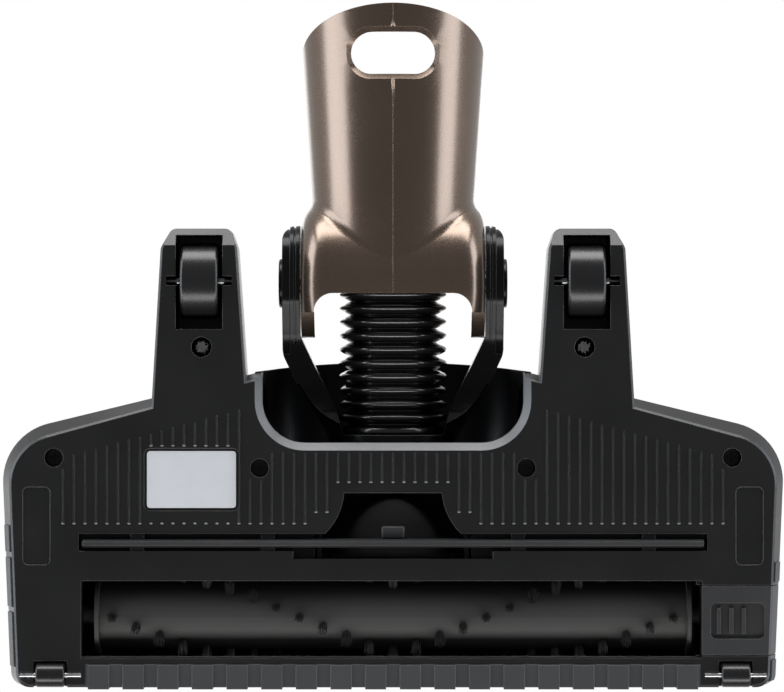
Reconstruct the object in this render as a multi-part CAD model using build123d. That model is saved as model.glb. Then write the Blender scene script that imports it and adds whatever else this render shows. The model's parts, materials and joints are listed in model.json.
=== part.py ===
from build123d import *
import math
import os

# Powered vacuum floor head, in its position of use: +Z up, floor at z = 0,
# front bumper towards -Y, neck towards +Y. All sizes in millimetres.

# Walls and clearances
wall = 2.4
plate = 2.5
thin_wall = 1.6
gap = 0.3
seat_gap = 0.1
running = 0.05

# Heights of the head
sole_z = 3.5
seam_z = 14.0
cover_top_z = 48.0
plate_top_z = sole_z + plate

# Plan of the sole's lower edge and of the seam above it
side_draw = 3.3
sole_corner_y = -36.6
sole_corner_r = 18.0
front_flare = 2.7
side_flare = 3.4
corner_flare = 3.7
seam_corner_y = sole_corner_y + corner_flare
seam_corner_r = 22.0
front_corner_r = 5.0
# Share of the cover's height, draw towards the middle and corner radius of each level
cover_levels = (
    (0.0, 0.0, front_corner_r), (0.36, 1.2, 7.0), (0.66, 4.2, 10.0),
    (0.87, 9.0, 13.0), (0.97, 15.0, 16.0), (1.0, 21.0, 18.0),
)
slope_end_x = 50.0
sole_slope_end_y = -11.8
slope_flare = 2.0
seam_slope_end_y = sole_slope_end_y + slope_flare
edge_bevel = 0.8

# Wheel arms
arm_root_y = -24.0
arm_outer_root_x = 88.9
arm_outer_end_x = 85.4
arm_inner_root_x = 53.2
arm_inner_end_x = 57.3
arm_shoulder_y = 36.0
arm_end_y = 43.3
arm_end_outer_x = 81.5
arm_end_inner_x = 59.9
arm_top_z = 31.5
arm_edge_r = 3.0
arm_top_edge_r = 2.5
arm_slope_rise = 7.0

# Rear wheels
wheel_x = 71.3
wheel_y = 24.0
wheel_r = 14.0
wheel_width = 14.0
wheel_edge_r = 1.5
pocket_half = 8.6
pocket_y0 = 6.2
pocket_y1 = 40.8
pocket_top_z = 29.0
rear_axle_r = 1.6
rear_axle_length = 24.2

# Front rollers
roller_inset = 12.4
roller_r = 4.4
roller_width = 10.6
roller_edge_r = 0.8
roller_pocket_half = 6.2
roller_pocket_gap = 0.9
roller_axle_r = 1.0
roller_axle_length = 22.6
corner_block_top_z = 10.5

# Hood over the swivel
hood_rear_y = -6.2
hood_side_rear_y = -9.6
hood_top_half = 43.5
hood_top_z = 68.0
hood_edge_r = 17.0
hood_level = 6.0
hood_slope_draw = 6.0
hood_slope_rise = 1.0
hood_slope_edge_r = 13.0
hood_front_draw = 10.0
hood_front_edge_r = 8.0
hood_front_setback = 6.0
hood_front_half = 40.0
hood_front_top_z = 45.0

# Recess in the sole behind the swivel
recess_half = 48.0
hood_base_half = recess_half + wall
recess_front_y = -35.6
recess_corner_r = 15.5
recess_flare = 2.8
recess_rim_top_z = 12.0

# Brush roll, its window and its tunnel
roll_setback = 14.6
roll_z = 21.0
roll_half = 110.0
core_r = 12.5
bristle_r = 19.0
tunnel_r = 20.6
roll_end_gap = 4.6
window_x1 = roll_half + roll_end_gap
window_width = 28.3
tuft_pitch = 8.6
tuft_turn = 15.0
tuft_rows = 3
tuft_root_r = 1.3
tuft_tip_r = 1.7
tuft_sink = 3.0
journal_r = 4.0
journal_length = 9.0
end_disc_r = 15.0
end_disc_thickness = 1.6
suction_gap_half = 22.0
suction_gap_z0 = 13.0
suction_gap_z1 = 29.0

# Belt drive at the right end
pulley_wall_gap = 5.9
pulley_width = 9.0
pulley_x0 = window_x1 + pulley_wall_gap
pulley_x1 = pulley_x0 + pulley_width
roll_pulley_r = 11.0
motor_pulley_r = 5.0
flange_height = 1.2
flange_width = 0.8
belt_thickness = 1.4
bearing_r = 7.0
bearing_width = 4.0
pulley_side_gap = 1.5
bearing_post_x0 = pulley_x1 + pulley_side_gap
bearing_post_half = 9.5
bearing_post_inset = 7.3
belt_reach = 42.0
motor_z = 26.0
motor_r = 15.0
motor_length = 50.0
motor_pulley_gap = 12.5
motor_x0 = pulley_x0 - motor_pulley_gap - motor_length
motor_shaft_r = 1.5
motor_nose_r = 5.0
motor_nose_length = 3.0
cradle_width = 3.0
cradle_inset = 8.0

# Door over the left bearing
door_roll_gap = 3.5
door_x = -roll_half - door_roll_gap
door_front_reach = 13.5
door_rear_reach = 11.8
door_top_z = 35.0
door_bearing_wall = 3.0
bush_r = 6.5
grip_start = 3.3
grip_length = 19.7
grip_front_reach = 7.6
grip_rear_reach = 5.6
grip_depth = 1.4
grip_corner_r = 2.0
grip_rib_pitch = 4.6
grip_rib_width = 1.4
grip_rib_length = 9.5
grip_rib_start = 2.9
grip_rib_count = 3

# Wiper slot, blade and suction mouth
slot_inset = 22.8
slot_width = 6.3
slot_bar = 11.0
slot_roof_z = 12.0
blade_end_gap = 1.5
blade_setback = 2.8
blade_thickness = 3.2
blade_tip_thickness = 1.4
blade_tip_z = 1.0
blade_shoulder_z = 5.0
tab_width = 5.0
tab_z0 = 4.2
tab_z1 = 8.0
tab_inset = 21.5
tab_inner_gap = 9.3
mouth_length = 15.0
mouth_duct_gap = 4.0
mouth_top_half = 18.0
mouth_waist_half = 19.8
mouth_base_half = 25.0
front_pocket_half = 36.7
front_pocket_reach = 2.9

# Suction duct, spigot and bulkhead
duct_half = 26.5
duct_bulkhead_gap = 7.0
duct_roof_front_z = 39.0
duct_roof_rear_z = 55.0
duct_roof_level = 6.0
duct_roof_r = 6.0
bulkhead_thickness = 2.5
bulkhead_gap = 0.9
spigot_r = 16.5
spigot_bore_r = 14.0
spigot_end_y = -31.2

# Swivel and yoke
axis_z = 38.0
yoke_front_y = -39.6
yoke_face_y = -35.2
yoke_base_r = 24.5
yoke_base_half = 22.0
yoke_arm_start_x = 25.0
yoke_arm_start_y = -33.0
yoke_arm_mid_x = 36.0
yoke_arm_mid_y = -14.0
yoke_ear_start_y = -3.0
ear_outer_x = 41.3
ear_inner_x = 34.7
ear_end_y = 45.0
ear_end_corner_r = 5.5
ear_r = 18.0
ear_step = 1.2
ear_step_x = 38.4
ear_groove_x0 = 36.2
ear_groove_x1 = 37.0
ear_groove_start = 4.0
yoke_arm_half_height = 9.0
yoke_arm_fall = 11.0
yoke_base_corner_r = 3.0
yoke_shoulder_r = 4.0
yoke_arm_r = 20.0
yoke_ear_r = 10.0
yoke_window_draw = 2.5
yoke_window_length = 9.0
yoke_window_corner_r = 6.0
yoke_arm_width = 6.0
yoke_inner_bend = 7.0
yoke_arm_shift = 8.0
yoke_arm_inner_r = 12.0
yoke_ear_inner_r = 3.0
yoke_base_trim = 0.5
yoke_base_edge_r = 2.0
yoke_base_end_r = 3.0
yoke_fall_r = 10.0
yoke_rise_r = 12.0
yoke_rise_start = 4.0
yoke_rise_end = 6.0
ear_front_round_r = 8.0
ear_end_round_r = 14.0
yoke_sweep_r = 36.0
yoke_window_r = 21.0
swivel_ring_r = 19.2
swivel_ring_width = 1.4
pivot_y = 23.5
pivot_pin_r = 4.0
pivot_pin_inner_x = 27.4
cap_r = 9.2
cap_height = 1.5
cap_edge_r = 0.7

# Hose
hose_crest_r = 20.3
hose_root_r = 15.9
hose_wall = 1.1
hose_pitch = 5.1
hose_ribs = 15
hose_round = 0.75
hose_cuff_length = 3.0
hose_lead = 0.5
hose_start_y = -33.4
hose_section_low = 5.0

# Neck
cheek_inner_x = 29.2
cheek_outer_x = 34.2
cheek_r = 20.5
barrel_r = 30.8
barrel_wall = 2.6
barrel_end_r = 9.5
saddle_r = 4.0
neck_front_y = 19.5
neck_corner_r = 7.0
neck_r0 = 30.4
neck_r0_y = 52.0
neck_r1 = 34.0
neck_r1_y = 107.9
neck_reach = 17.6
scoop_y = 44.0
scoop_top_y = 57.0
scoop_r = 8.0
collar_seat_r = 27.0
collar_front_y = 50.0
socket_r = 28.0
socket_y0 = 58.0
socket_y1 = 88.0
socket_mouth_r = 31.0
collar_spigot_wall = 1.8
collar_spigot_length = 6.0
contact_r = 1.8
contact_length = 4.0
contact_half_pitch = 6.0
contact_drop = 20.5
latch_length = 30.9
latch_width = 15.4
latch_rim_width = 1.9
bead_width = 0.4
bead_height = 0.12

# Bumpers
bumper_end_gap = 12.9
bumper_depth = 8.4
bumper_flange = 1.4
bumper_lip = 2.1
bumper_top_z = 13.4
pad_count = 18
pad_end = 4.795
pad_width = 7.7
pad_height = 0.7
pad_inset = 0.5
side_pad_height = 0.6
side_pad_z0 = 5.5
side_pad_z1 = 12.5
# Start and end of each side pad, behind the front
right_side_pads = ((49.6, 59.4), (29.4, 47.6), (7.4, 27.4))
left_side_pads = ((38.6, 45.7), (2.0, 9.8))

# Screws
outer_screw_inset = 13.7
outer_screw_setback = 4.4
inner_screw_gap = 1.0
inner_screw_setback = 9.2
arm_screw_x = 70.4
arm_screw_y = -0.4
recess_r = 3.4
arm_recess_r = 3.7
screw_head_height = 2.2
screw_seat_z = 11.0
shank_r = 1.5
shank_length = 13.0
boss_wall = 1.6
cross_width = 0.8
cross_length = 3.6
cross_depth = 1.2

# Label, glide ribs and side panels of the sole
label_x0 = 57.7
label_x1 = 90.4
label_length = 20.9
label_setback = 3.0
label_thickness = 0.3
label_sink = 0.6
label_margin = 1.0
label_corner_r = 1.2
rib_pitch = 4.04
rib_width = 0.5
rib_height = 0.35
rib_slot_gap = 3.8
rib_side_inset = 16.8
rib_slope_gap = 10.0
rib_keep = 4.0
side_panel_inset = 2.3
side_panel_width = 10.0
side_panel_setback = 5.1
side_panel_length = 28.6
side_panel_depth = 0.4
side_panel_r = 2.0

# Control board
board_side_inset = 36.3
board_length = 40.0
board_width = 18.0
board_slot_gap = 7.0
board_z = 12.0
board_thickness = 1.6
relay_start = 8.0
relay_length = 14.0
relay_width = 12.0
relay_height = 10.0
capacitor_height = 8.0
capacitor_places = (6.0, 14.0)
post_r = 3.0
cut_reach = 5.0

# Places along Y, from the swivel forwards to the front
bulkhead_y1 = yoke_front_y - bulkhead_gap
bulkhead_y0 = bulkhead_y1 - bulkhead_thickness
duct_rear_y = bulkhead_y0 - duct_bulkhead_gap
mouth_top_y = duct_rear_y - mouth_duct_gap
slot_y1 = mouth_top_y - mouth_length
slot_y0 = slot_y1 - slot_width
blade_y = slot_y0 + blade_setback
front_pocket_y = slot_y0 - front_pocket_reach
window_y1 = slot_y0 - slot_bar
window_y0 = window_y1 - window_width
bumper_rear_y = window_y0 - wall
front_y = bumper_rear_y - bumper_depth
roll_y = window_y0 + roll_setback
motor_y = roll_y + belt_reach
hood_front_y = roll_y + hood_front_setback
door_y0 = roll_y - door_front_reach
door_y1 = roll_y + door_rear_reach
grip_y0 = roll_y - grip_front_reach
grip_y1 = roll_y + grip_rear_reach
roller_y = front_y + roller_r
roller_pocket_y1 = roller_y + roller_r + roller_pocket_gap
rib_front_y = slot_y1 + rib_slot_gap
label_y1 = recess_front_y - label_setback
label_y0 = label_y1 - label_length
side_panel_y0 = slot_y0 - side_panel_setback
side_panel_y1 = side_panel_y0 + side_panel_length
board_y0 = slot_y1 + board_slot_gap
board_y1 = board_y0 + board_width

# Places across, from the roll outwards to the sides
window_x0 = door_x
sole_front_half = bearing_post_x0 + bearing_post_inset
sole_side_half = sole_front_half + side_draw
seam_front_half = sole_front_half + front_flare
seam_side_half = sole_side_half + side_flare
roller_x = sole_front_half - roller_inset
bumper_half = roller_x - bumper_end_gap
pad_pitch = 2 * (bumper_half - pad_end) / (pad_count - 1)
slot_half = sole_front_half - slot_inset
blade_half = slot_half - blade_end_gap
tab_outer_x = slot_half - tab_inset
tab_inner_x = front_pocket_half + tab_inner_gap
tab_places = (-tab_outer_x, -tab_inner_x, tab_inner_x, tab_outer_x)
grip_x1 = door_x - grip_start
grip_x0 = grip_x1 - grip_length
grip_rib_first_x = grip_x1 - grip_rib_start
rib_outer_x = sole_front_half - rib_side_inset
side_panel_x1 = sole_front_half - side_panel_inset
side_panel_x0 = side_panel_x1 - side_panel_width
board_x0 = board_side_inset - sole_front_half
board_x1 = board_x0 + board_length
outer_screw_x = sole_front_half - outer_screw_inset
outer_screw_y = sole_corner_y - outer_screw_setback
inner_screw_x = recess_half + inner_screw_gap
inner_screw_y = recess_front_y - inner_screw_setback
screw_places = (
    (outer_screw_x, outer_screw_y), (-outer_screw_x, outer_screw_y),
    (inner_screw_x, inner_screw_y), (-inner_screw_x, inner_screw_y),
)


def block(x0, x1, y0, y1, z0, z1):
    """Box between two opposite corners."""
    middle = Pos((x0 + x1) / 2, (y0 + y1) / 2, (z0 + z1) / 2)
    return middle * Box(x1 - x0, y1 - y0, z1 - z0)


def rod_x(radius, x0, x1, y, z):
    """Cylinder along X."""
    return Pos((x0 + x1) / 2, y, z) * Rot(0, 90, 0) * Cylinder(radius, x1 - x0)


def rod_y(radius, y0, y1, x=0.0, z=axis_z):
    """Cylinder along Y, on the swivel axis unless placed."""
    return Pos(x, (y0 + y1) / 2, z) * Rot(90, 0, 0) * Cylinder(radius, y1 - y0)


def rod_z(radius, z0, z1, x, y):
    """Upright cylinder."""
    return Pos(x, y, (z0 + z1) / 2) * Cylinder(radius, z1 - z0)


def rounded_polygon(corners):
    """Face from (x, y, radius) corners; a radius of 0 keeps a corner sharp."""
    joints = []
    for index, (x, y, radius) in enumerate(corners):
        here = Vector(x, y)
        back = (Vector(*corners[index - 1][:2]) - here).normalized()
        ahead = (Vector(*corners[(index + 1) % len(corners)][:2]) - here).normalized()
        half_angle = math.radians(back.get_angle(ahead)) / 2
        reach = radius / math.tan(half_angle)
        depth = radius / math.sin(half_angle) - radius
        middle = here + (back + ahead).normalized() * depth
        joints.append((here + back * reach, middle, here + ahead * reach, radius))
    edges = []
    for index, (start, middle, end, radius) in enumerate(joints):
        if radius > 0:
            edges.append(ThreePointArc(start, middle, end))
        edges.append(Line(end, joints[(index + 1) % len(joints)][0]))
    return make_face(edges)


def mirrored(corners):
    """Right half of an outline, from front to rear, completed by its left half."""
    return list(corners) + [(-x, y, radius) for x, y, radius in reversed(corners)]


def prism_z(face, z0, z1):
    """Upright prism on a face drawn in plan."""
    return extrude(Pos(0, 0, z0) * face, amount=z1 - z0, dir=(0, 0, 1))


def prism_x(face, x0, x1):
    """Prism along X on a face drawn in side view, (y, z)."""
    return extrude(Pos(x0, 0, 0) * (Plane.YZ * face), amount=x1 - x0, dir=(1, 0, 0))


def right_and_left(solid):
    """A solid and its mirror image in the middle plane."""
    return solid + mirror(solid, about=Plane.YZ)


def sole_outline(inset):
    """Plan of the sole's lower edge, drawn in by inset."""
    return rounded_polygon(mirrored([
        (sole_front_half - inset, front_y + inset, front_corner_r),
        (sole_side_half - inset, sole_corner_y - inset, sole_corner_r),
        (slope_end_x, sole_slope_end_y - inset, 0),
    ]))


def seam_outline(inset, corner_r=front_corner_r):
    """Plan of the seam between sole and cover, drawn in by inset."""
    return rounded_polygon(mirrored([
        (seam_front_half - inset, front_y + inset, corner_r),
        (seam_side_half - inset, seam_corner_y - inset, seam_corner_r),
        (slope_end_x, seam_slope_end_y - inset, 0),
    ]))


def arm_outline(inset):
    """Plan of the right wheel arm, drawn in by inset."""
    return rounded_polygon([
        (arm_outer_root_x - inset, arm_root_y, 0),
        (arm_outer_end_x - inset, arm_shoulder_y, arm_edge_r),
        (arm_end_outer_x - inset, arm_end_y - inset, arm_edge_r),
        (arm_end_inner_x + inset, arm_end_y - inset, arm_edge_r),
        (arm_inner_end_x + inset, arm_shoulder_y, arm_edge_r),
        (arm_inner_root_x + inset, arm_root_y, 0),
    ])


def recess_outline(grow):
    """Plan of the U-shaped recess, open to the rear, widened by grow."""
    half = recess_half + grow
    front = recess_front_y - grow
    radius = recess_corner_r + grow
    return rounded_polygon([
        (half, front, radius), (half, arm_end_y, 0), (-half, arm_end_y, 0), (-half, front, radius),
    ])


def sole_form(inset):
    """Outer form of the sole without its arms, flaring up to the seam."""
    return loft([
        Pos(0, 0, sole_z) * sole_outline(inset + edge_bevel),
        Pos(0, 0, sole_z + edge_bevel) * sole_outline(inset),
        Pos(0, 0, seam_z) * seam_outline(inset),
    ], ruled=True)


def cover_form(inset):
    """Pillow-shaped low body of the cover, drawn in by inset."""
    drop = cover_top_z - seam_z
    sections = []
    for share, draw, corner_r in cover_levels:
        height = seam_z + share * (drop - inset)
        sections.append(Pos(0, 0, height) * seam_outline(draw + inset, corner_r))
    return loft(sections)


def hood_section(y, base_half, top_half, top_z, edge_r):
    """Cross-section of the hood at one place along Y."""
    face = rounded_polygon([
        (base_half, seam_z, 0), (top_half, top_z, edge_r),
        (-top_half, top_z, edge_r), (-base_half, seam_z, 0),
    ])
    return Pos(0, y, 0) * (Plane.XZ * face)


def hood_form(inset, rear_y=hood_rear_y):
    """Hump of the cover over the swivel, falling towards the front."""
    level_y = yoke_front_y - hood_level
    slope_y = (level_y + hood_front_y) / 2
    slope_half = (hood_base_half + hood_front_half) / 2
    slope_top_half = (hood_top_half + hood_front_half) / 2 - hood_slope_draw
    slope_top_z = (hood_top_z + hood_front_top_z) / 2 + hood_slope_rise
    return loft([
        hood_section(rear_y, hood_base_half - inset, hood_top_half - inset, hood_top_z - inset, hood_edge_r),
        hood_section(level_y, hood_base_half - inset, hood_top_half - inset, hood_top_z - inset, hood_edge_r),
        hood_section(slope_y, slope_half - inset, slope_top_half - inset, slope_top_z - inset,
                     hood_slope_edge_r),
        hood_section(hood_front_y + inset, hood_front_half - inset,
                     hood_front_half - hood_front_draw - inset, hood_front_top_z - inset,
                     hood_front_edge_r),
    ])


def arm_slope():
    """Wedge that lifts the lower rear end of the arms."""
    face = rounded_polygon([
        (arm_shoulder_y, sole_z - 1, 0), (arm_end_y + 1, sole_z - 1, 0),
        (arm_end_y + 1, sole_z + arm_slope_rise, 0),
    ])
    return prism_x(face, -arm_outer_root_x, arm_outer_root_x)


def wheel_pocket():
    """Space for the right rear wheel."""
    return block(wheel_x - pocket_half, wheel_x + pocket_half, pocket_y0, pocket_y1, sole_z - 1, pocket_top_z)


def axle_slot():
    """Slot, open below, that takes the right rear axle."""
    half = rear_axle_length / 2
    radius = rear_axle_r + seat_gap
    slot = block(wheel_x - half, wheel_x + half, wheel_y - radius, wheel_y + radius, sole_z - 1, wheel_r)
    return slot + rod_x(radius, wheel_x - half, wheel_x + half, wheel_y, wheel_r)


def door_opening(clearance):
    """Space that the roll door fills at the left end."""
    outside = -seam_side_half - cut_reach
    return block(outside, door_x + clearance, door_y0 - clearance, door_y1 + clearance,
                 sole_z - 1, door_top_z + clearance)


def head_bosses(radius, z0, z1):
    """Upright cylinders at the four sole screws."""
    bosses = [rod_z(radius, z0, z1, x, y) for x, y in screw_places]
    return bosses[0] + bosses[1:]


def arm_bosses(radius, z0, z1):
    """Upright cylinders at the two arm screws."""
    return right_and_left(rod_z(radius, z0, z1, arm_screw_x, arm_screw_y))


def mouth_outline():
    """Plan of the suction mouth, widening with curved sides towards the slot."""
    waist_y = (mouth_top_y + slot_y1) / 2
    right = ThreePointArc((mouth_top_half, mouth_top_y), (mouth_waist_half, waist_y),
                          (mouth_base_half, slot_y1))
    left = ThreePointArc((-mouth_base_half, slot_y1), (-mouth_waist_half, waist_y),
                         (-mouth_top_half, mouth_top_y))
    base = Line((mouth_base_half, slot_y1), (-mouth_base_half, slot_y1))
    top = Line((-mouth_top_half, mouth_top_y), (mouth_top_half, mouth_top_y))
    return make_face([right, base, left, top])


def slot_space(z1):
    """Space of the wiper slot and of the wide pocket in front of it."""
    slot = block(-slot_half, slot_half, slot_y0, slot_y1, sole_z - 1, z1)
    return slot + block(-front_pocket_half, front_pocket_half, front_pocket_y, slot_y0, sole_z - 1, z1)


def slope_y_at(x):
    """Rear edge of the sole's underside on the sloping line."""
    run = (sole_side_half - abs(x)) / (sole_side_half - slope_end_x)
    return sole_corner_y + run * (sole_slope_end_y - sole_corner_y)


def glide_rib_spans(x):
    """Stretches along Y of the fine rib at one place across the sole."""
    top = slope_y_at(x) - rib_slope_gap
    front = rib_front_y
    if abs(x) < recess_half + recess_flare:
        top = recess_front_y - recess_flare - label_margin
    if abs(x) < mouth_top_half + rib_keep:
        front = mouth_top_y + rib_keep
    elif abs(x) < mouth_base_half + rib_keep:
        front = slot_y1 + 2 * rib_keep
    if label_x0 - label_margin < x < label_x1 + label_margin:
        return [(label_y1 + 2 * label_margin, top), (front, label_y0 - 2 * label_margin)]
    return [(front, top)]


def glide_ribs():
    """Fine raised ribs along the underside, kept clear of the screw recesses."""
    ribs = []
    count = int(rib_outer_x / rib_pitch)
    for step in range(-count, count + 1):
        x = step * rib_pitch
        near_screw = [y for place_x, y in screw_places if abs(place_x - x) < recess_r + rib_width]
        for y0, y1 in glide_rib_spans(x):
            top = min([y1] + [y - recess_r - label_margin for y in near_screw])
            if top - y0 > rib_pitch:
                ribs.append(block(x - rib_width / 2, x + rib_width / 2, y0, top,
                                  sole_z - rib_height, sole_z + plate / 2))
    return ribs


def make_sole_plate():
    """Lower tray with its arms, windows, pockets and inner supports."""
    body = sole_form(0)
    body = body - prism_z(sole_outline(wall), plate_top_z, seam_z + 1)
    arm = prism_z(arm_outline(0), sole_z + edge_bevel, seam_z)
    arm = arm + loft([Pos(0, 0, sole_z) * arm_outline(edge_bevel),
                      Pos(0, 0, sole_z + edge_bevel) * arm_outline(0)], ruled=True)
    hollow = prism_z(arm_outline(wall), plate_top_z, seam_z + 1)
    hollow = hollow - block(0, seam_side_half, pocket_y0 - wall, arm_end_y, 0, seam_z + 1)
    body = body + right_and_left(arm) - right_and_left(hollow)
    rim = prism_z(recess_outline(wall), sole_z, recess_rim_top_z)
    sides = prism_z(recess_outline(wall), sole_z, seam_z)
    recess_side_y = recess_front_y + recess_corner_r
    sides = sides - block(-seam_side_half, seam_side_half, front_y, recess_side_y, 0, hood_top_z)
    rear = block(-seam_side_half, seam_side_half, sole_slope_end_y, arm_end_y + 1, 0, hood_top_z)
    body = body + (rim - rear) + (sides - rear)
    body = body - prism_z(recess_outline(0), sole_z - 1, hood_top_z)
    flare = loft([Pos(0, 0, sole_z) * recess_outline(recess_flare),
                  Pos(0, 0, sole_z + recess_flare) * recess_outline(0)], ruled=True)
    body = body - flare
    body = body + corner_blocks() + front_bar() + blade_pocket()
    body = body + head_bosses(recess_r + boss_wall, sole_z, seam_z)
    body = body + arm_bosses(arm_recess_r + boss_wall, sole_z, seam_z)
    body = body + motor_cradle() + bearing_post() + board_posts()
    body = body - right_and_left(wheel_pocket()) - right_and_left(axle_slot()) - arm_slope()
    body = body - window_space() - slot_space(slot_roof_z) - prism_z(mouth_outline(), sole_z - 1, plate_top_z)
    body = body - right_and_left(roller_space()) - bumper_space() - door_opening(gap)
    body = body - head_bosses(recess_r, sole_z - 1, screw_seat_z) - head_bosses(shank_r + seat_gap, 0, seam_z)
    body = body - arm_bosses(arm_recess_r, sole_z - 1, screw_seat_z)
    body = body - arm_bosses(shank_r + seat_gap, 0, seam_z)
    body = body - label_recess() - right_and_left(side_panel())
    return body + blade_tabs() + glide_ribs()


def window_space():
    """Opening of the brush window."""
    return block(window_x0, window_x1, window_y0, window_y1, sole_z - 1, plate_top_z)


def corner_blocks():
    """Thicker front corners that hold the rollers, cut to the sole's form."""
    inner_x = bumper_half
    rear_y = roller_pocket_y1 + wall
    corner = block(inner_x, seam_side_half, front_y, rear_y, sole_z, corner_block_top_z)
    tunnel = rod_x(tunnel_r + thin_wall + gap, door_x, window_x1 + thin_wall + gap, roll_y, roll_z)
    return (right_and_left(corner) & sole_form(0)) - tunnel


def front_bar():
    """Bar in front of the brush window that carries the bumper."""
    floor_bar = block(-bumper_half, bumper_half, front_y + bumper_lip, window_y0, sole_z, plate_top_z)
    upright = block(-bumper_half, bumper_half, front_y + bumper_lip,
                    front_y + bumper_lip + thin_wall, sole_z, seam_z)
    return floor_bar + upright


def bumper_space():
    """Rebate along the front that the bumper sits in."""
    below = block(-bumper_half, bumper_half, front_y - 1, bumper_rear_y, sole_z - 1, sole_z + bumper_flange)
    ahead = block(-bumper_half, bumper_half, front_y - 1, front_y + bumper_lip, sole_z - 1, seam_z + 1)
    return below + ahead


def blade_pocket():
    """Walls around the wiper slot above the plate, outside the suction duct."""
    outer = block(-slot_half - thin_wall, slot_half + thin_wall, slot_y0 - thin_wall, slot_y1 + thin_wall,
                  sole_z, slot_roof_z + thin_wall)
    wide = block(-front_pocket_half - thin_wall, front_pocket_half + thin_wall, front_pocket_y - thin_wall,
                 slot_y1, sole_z, slot_roof_z + thin_wall)
    middle = block(-duct_half - wall, duct_half + wall, front_pocket_y - wall, slot_y1 + wall,
                   plate_top_z, hood_top_z)
    tunnel = rod_x(tunnel_r + thin_wall + gap, -slot_half, slot_half, roll_y, roll_z)
    return outer + wide - middle - tunnel


def blade_tabs():
    """Small tabs at the slot's edges that hold the wiper blade."""
    tabs = []
    for x in tab_places:
        x0 = x - tab_width / 2
        x1 = x + tab_width / 2
        front = slot_y0 if abs(x) > front_pocket_half else front_pocket_y
        tabs.append(block(x0, x1, blade_y + blade_thickness / 2, slot_y1, tab_z0, tab_z1))
        tabs.append(block(x0, x1, front, blade_y - blade_thickness / 2, tab_z0, tab_z1))
    return tabs


def roller_space():
    """Pocket and axle groove of the right front roller."""
    pocket = block(roller_x - roller_pocket_half, roller_x + roller_pocket_half,
                   front_y - 1, roller_pocket_y1,
                   sole_z - 1, 2 * roller_r + gap)
    half = roller_axle_length / 2
    radius = roller_axle_r + seat_gap
    groove = block(roller_x - half, roller_x + half, roller_y - radius, roller_y + radius,
                   sole_z - 1, roller_r)
    return pocket + groove + rod_x(radius, roller_x - half, roller_x + half, roller_y, roller_r)


def motor_cradle():
    """Two saddles under the motor."""
    saddles = []
    for x in (motor_x0 + cradle_inset, motor_x0 + motor_length - cradle_inset):
        saddle = block(x - cradle_width / 2, x + cradle_width / 2,
                       motor_y - motor_r + wall, motor_y + motor_r - wall,
                       sole_z + plate / 2, motor_z - motor_r / 2)
        saddles.append(saddle - rod_x(motor_r, motor_x0, motor_x0 + motor_length, motor_y, motor_z))
    return saddles


def bearing_post():
    """Post that holds the bearing at the belt end of the roll."""
    x1 = bearing_post_x0 + bearing_width
    post = block(bearing_post_x0, x1, roll_y - bearing_post_half, roll_y + bearing_post_half,
                 sole_z + plate / 2, roll_z + bearing_post_half)
    return post - rod_x(bearing_r, bearing_post_x0, x1, roll_y, roll_z)


def board_places():
    """Centres of the posts under the control board."""
    middle_y = (board_y0 + board_y1) / 2
    return ((board_x0 + 2 * post_r, middle_y), (board_x1 - 2 * post_r, middle_y))


def board_posts():
    """Posts under the control board."""
    return [rod_z(post_r, sole_z + plate / 2, board_z, x, y) for x, y in board_places()]


def label_recess():
    """Shallow recess that takes the label."""
    x0, x1 = label_x0 - label_margin, label_x1 + label_margin
    y0, y1 = label_y0 - label_margin, label_y1 + label_margin
    radius = label_corner_r + label_margin
    face = rounded_polygon([(x0, y0, radius), (x1, y0, radius), (x1, y1, radius), (x0, y1, radius)])
    return prism_z(face, sole_z - 1, sole_z + label_sink)


def side_panel():
    """Shallow panel beside the wiper slot, right side."""
    face = rounded_polygon([
        (side_panel_x0, side_panel_y0, side_panel_r), (side_panel_x1, side_panel_y0, side_panel_r),
        (side_panel_x1, side_panel_y1, side_panel_r), (side_panel_x0, side_panel_y1, side_panel_r),
    ])
    return prism_z(face, sole_z - 1, sole_z + side_panel_depth)


def make_top_cover():
    """Upper shell: low pillow body, hood over the swivel and upper arm halves."""
    arm = prism_z(arm_outline(0), seam_z, arm_top_z)
    arm = fillet(arm.faces().sort_by(Axis.Z)[-1].edges(), arm_top_edge_r)
    arms = right_and_left(arm)
    outer = cover_form(0) + hood_form(0) + arms
    hollow_arm = prism_z(arm_outline(wall), seam_z - 1, arm_top_z - wall)
    hollow_arm = hollow_arm - block(0, seam_side_half, pocket_y0 - wall, arm_end_y, 0, arm_top_z)
    inner = cover_form(wall) + hood_form(wall, hood_rear_y + wall) + right_and_left(hollow_arm)
    below = block(-seam_side_half, seam_side_half, front_y, arm_end_y, 0, seam_z)
    body = outer - inner - below
    body = body - hood_trim()
    boss_r = shank_r + boss_wall
    bosses = head_bosses(boss_r, seam_z, hood_top_z) + arm_bosses(boss_r, seam_z, hood_top_z)
    body = body + (bosses & outer)
    screw_top = screw_seat_z + shank_length + gap
    body = body - head_bosses(shank_r, seam_z - 1, screw_top) - arm_bosses(shank_r, seam_z - 1, screw_top)
    return body - right_and_left(wheel_pocket()) - right_and_left(axle_slot()) - door_opening(gap)


def hood_trim():
    """Cutter that sweeps the hood's rear edge forward at its sides."""
    half = hood_base_half + 1
    middle = ThreePointArc((-half, hood_side_rear_y), (0, hood_rear_y), (half, hood_side_rear_y))
    right = Line((half, hood_side_rear_y), (half, 0))
    rear = Line((half, 0), (-half, 0))
    left = Line((-half, 0), (-half, hood_side_rear_y))
    return prism_z(make_face([middle, right, rear, left]), seam_z - 1, hood_top_z + 1)


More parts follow.
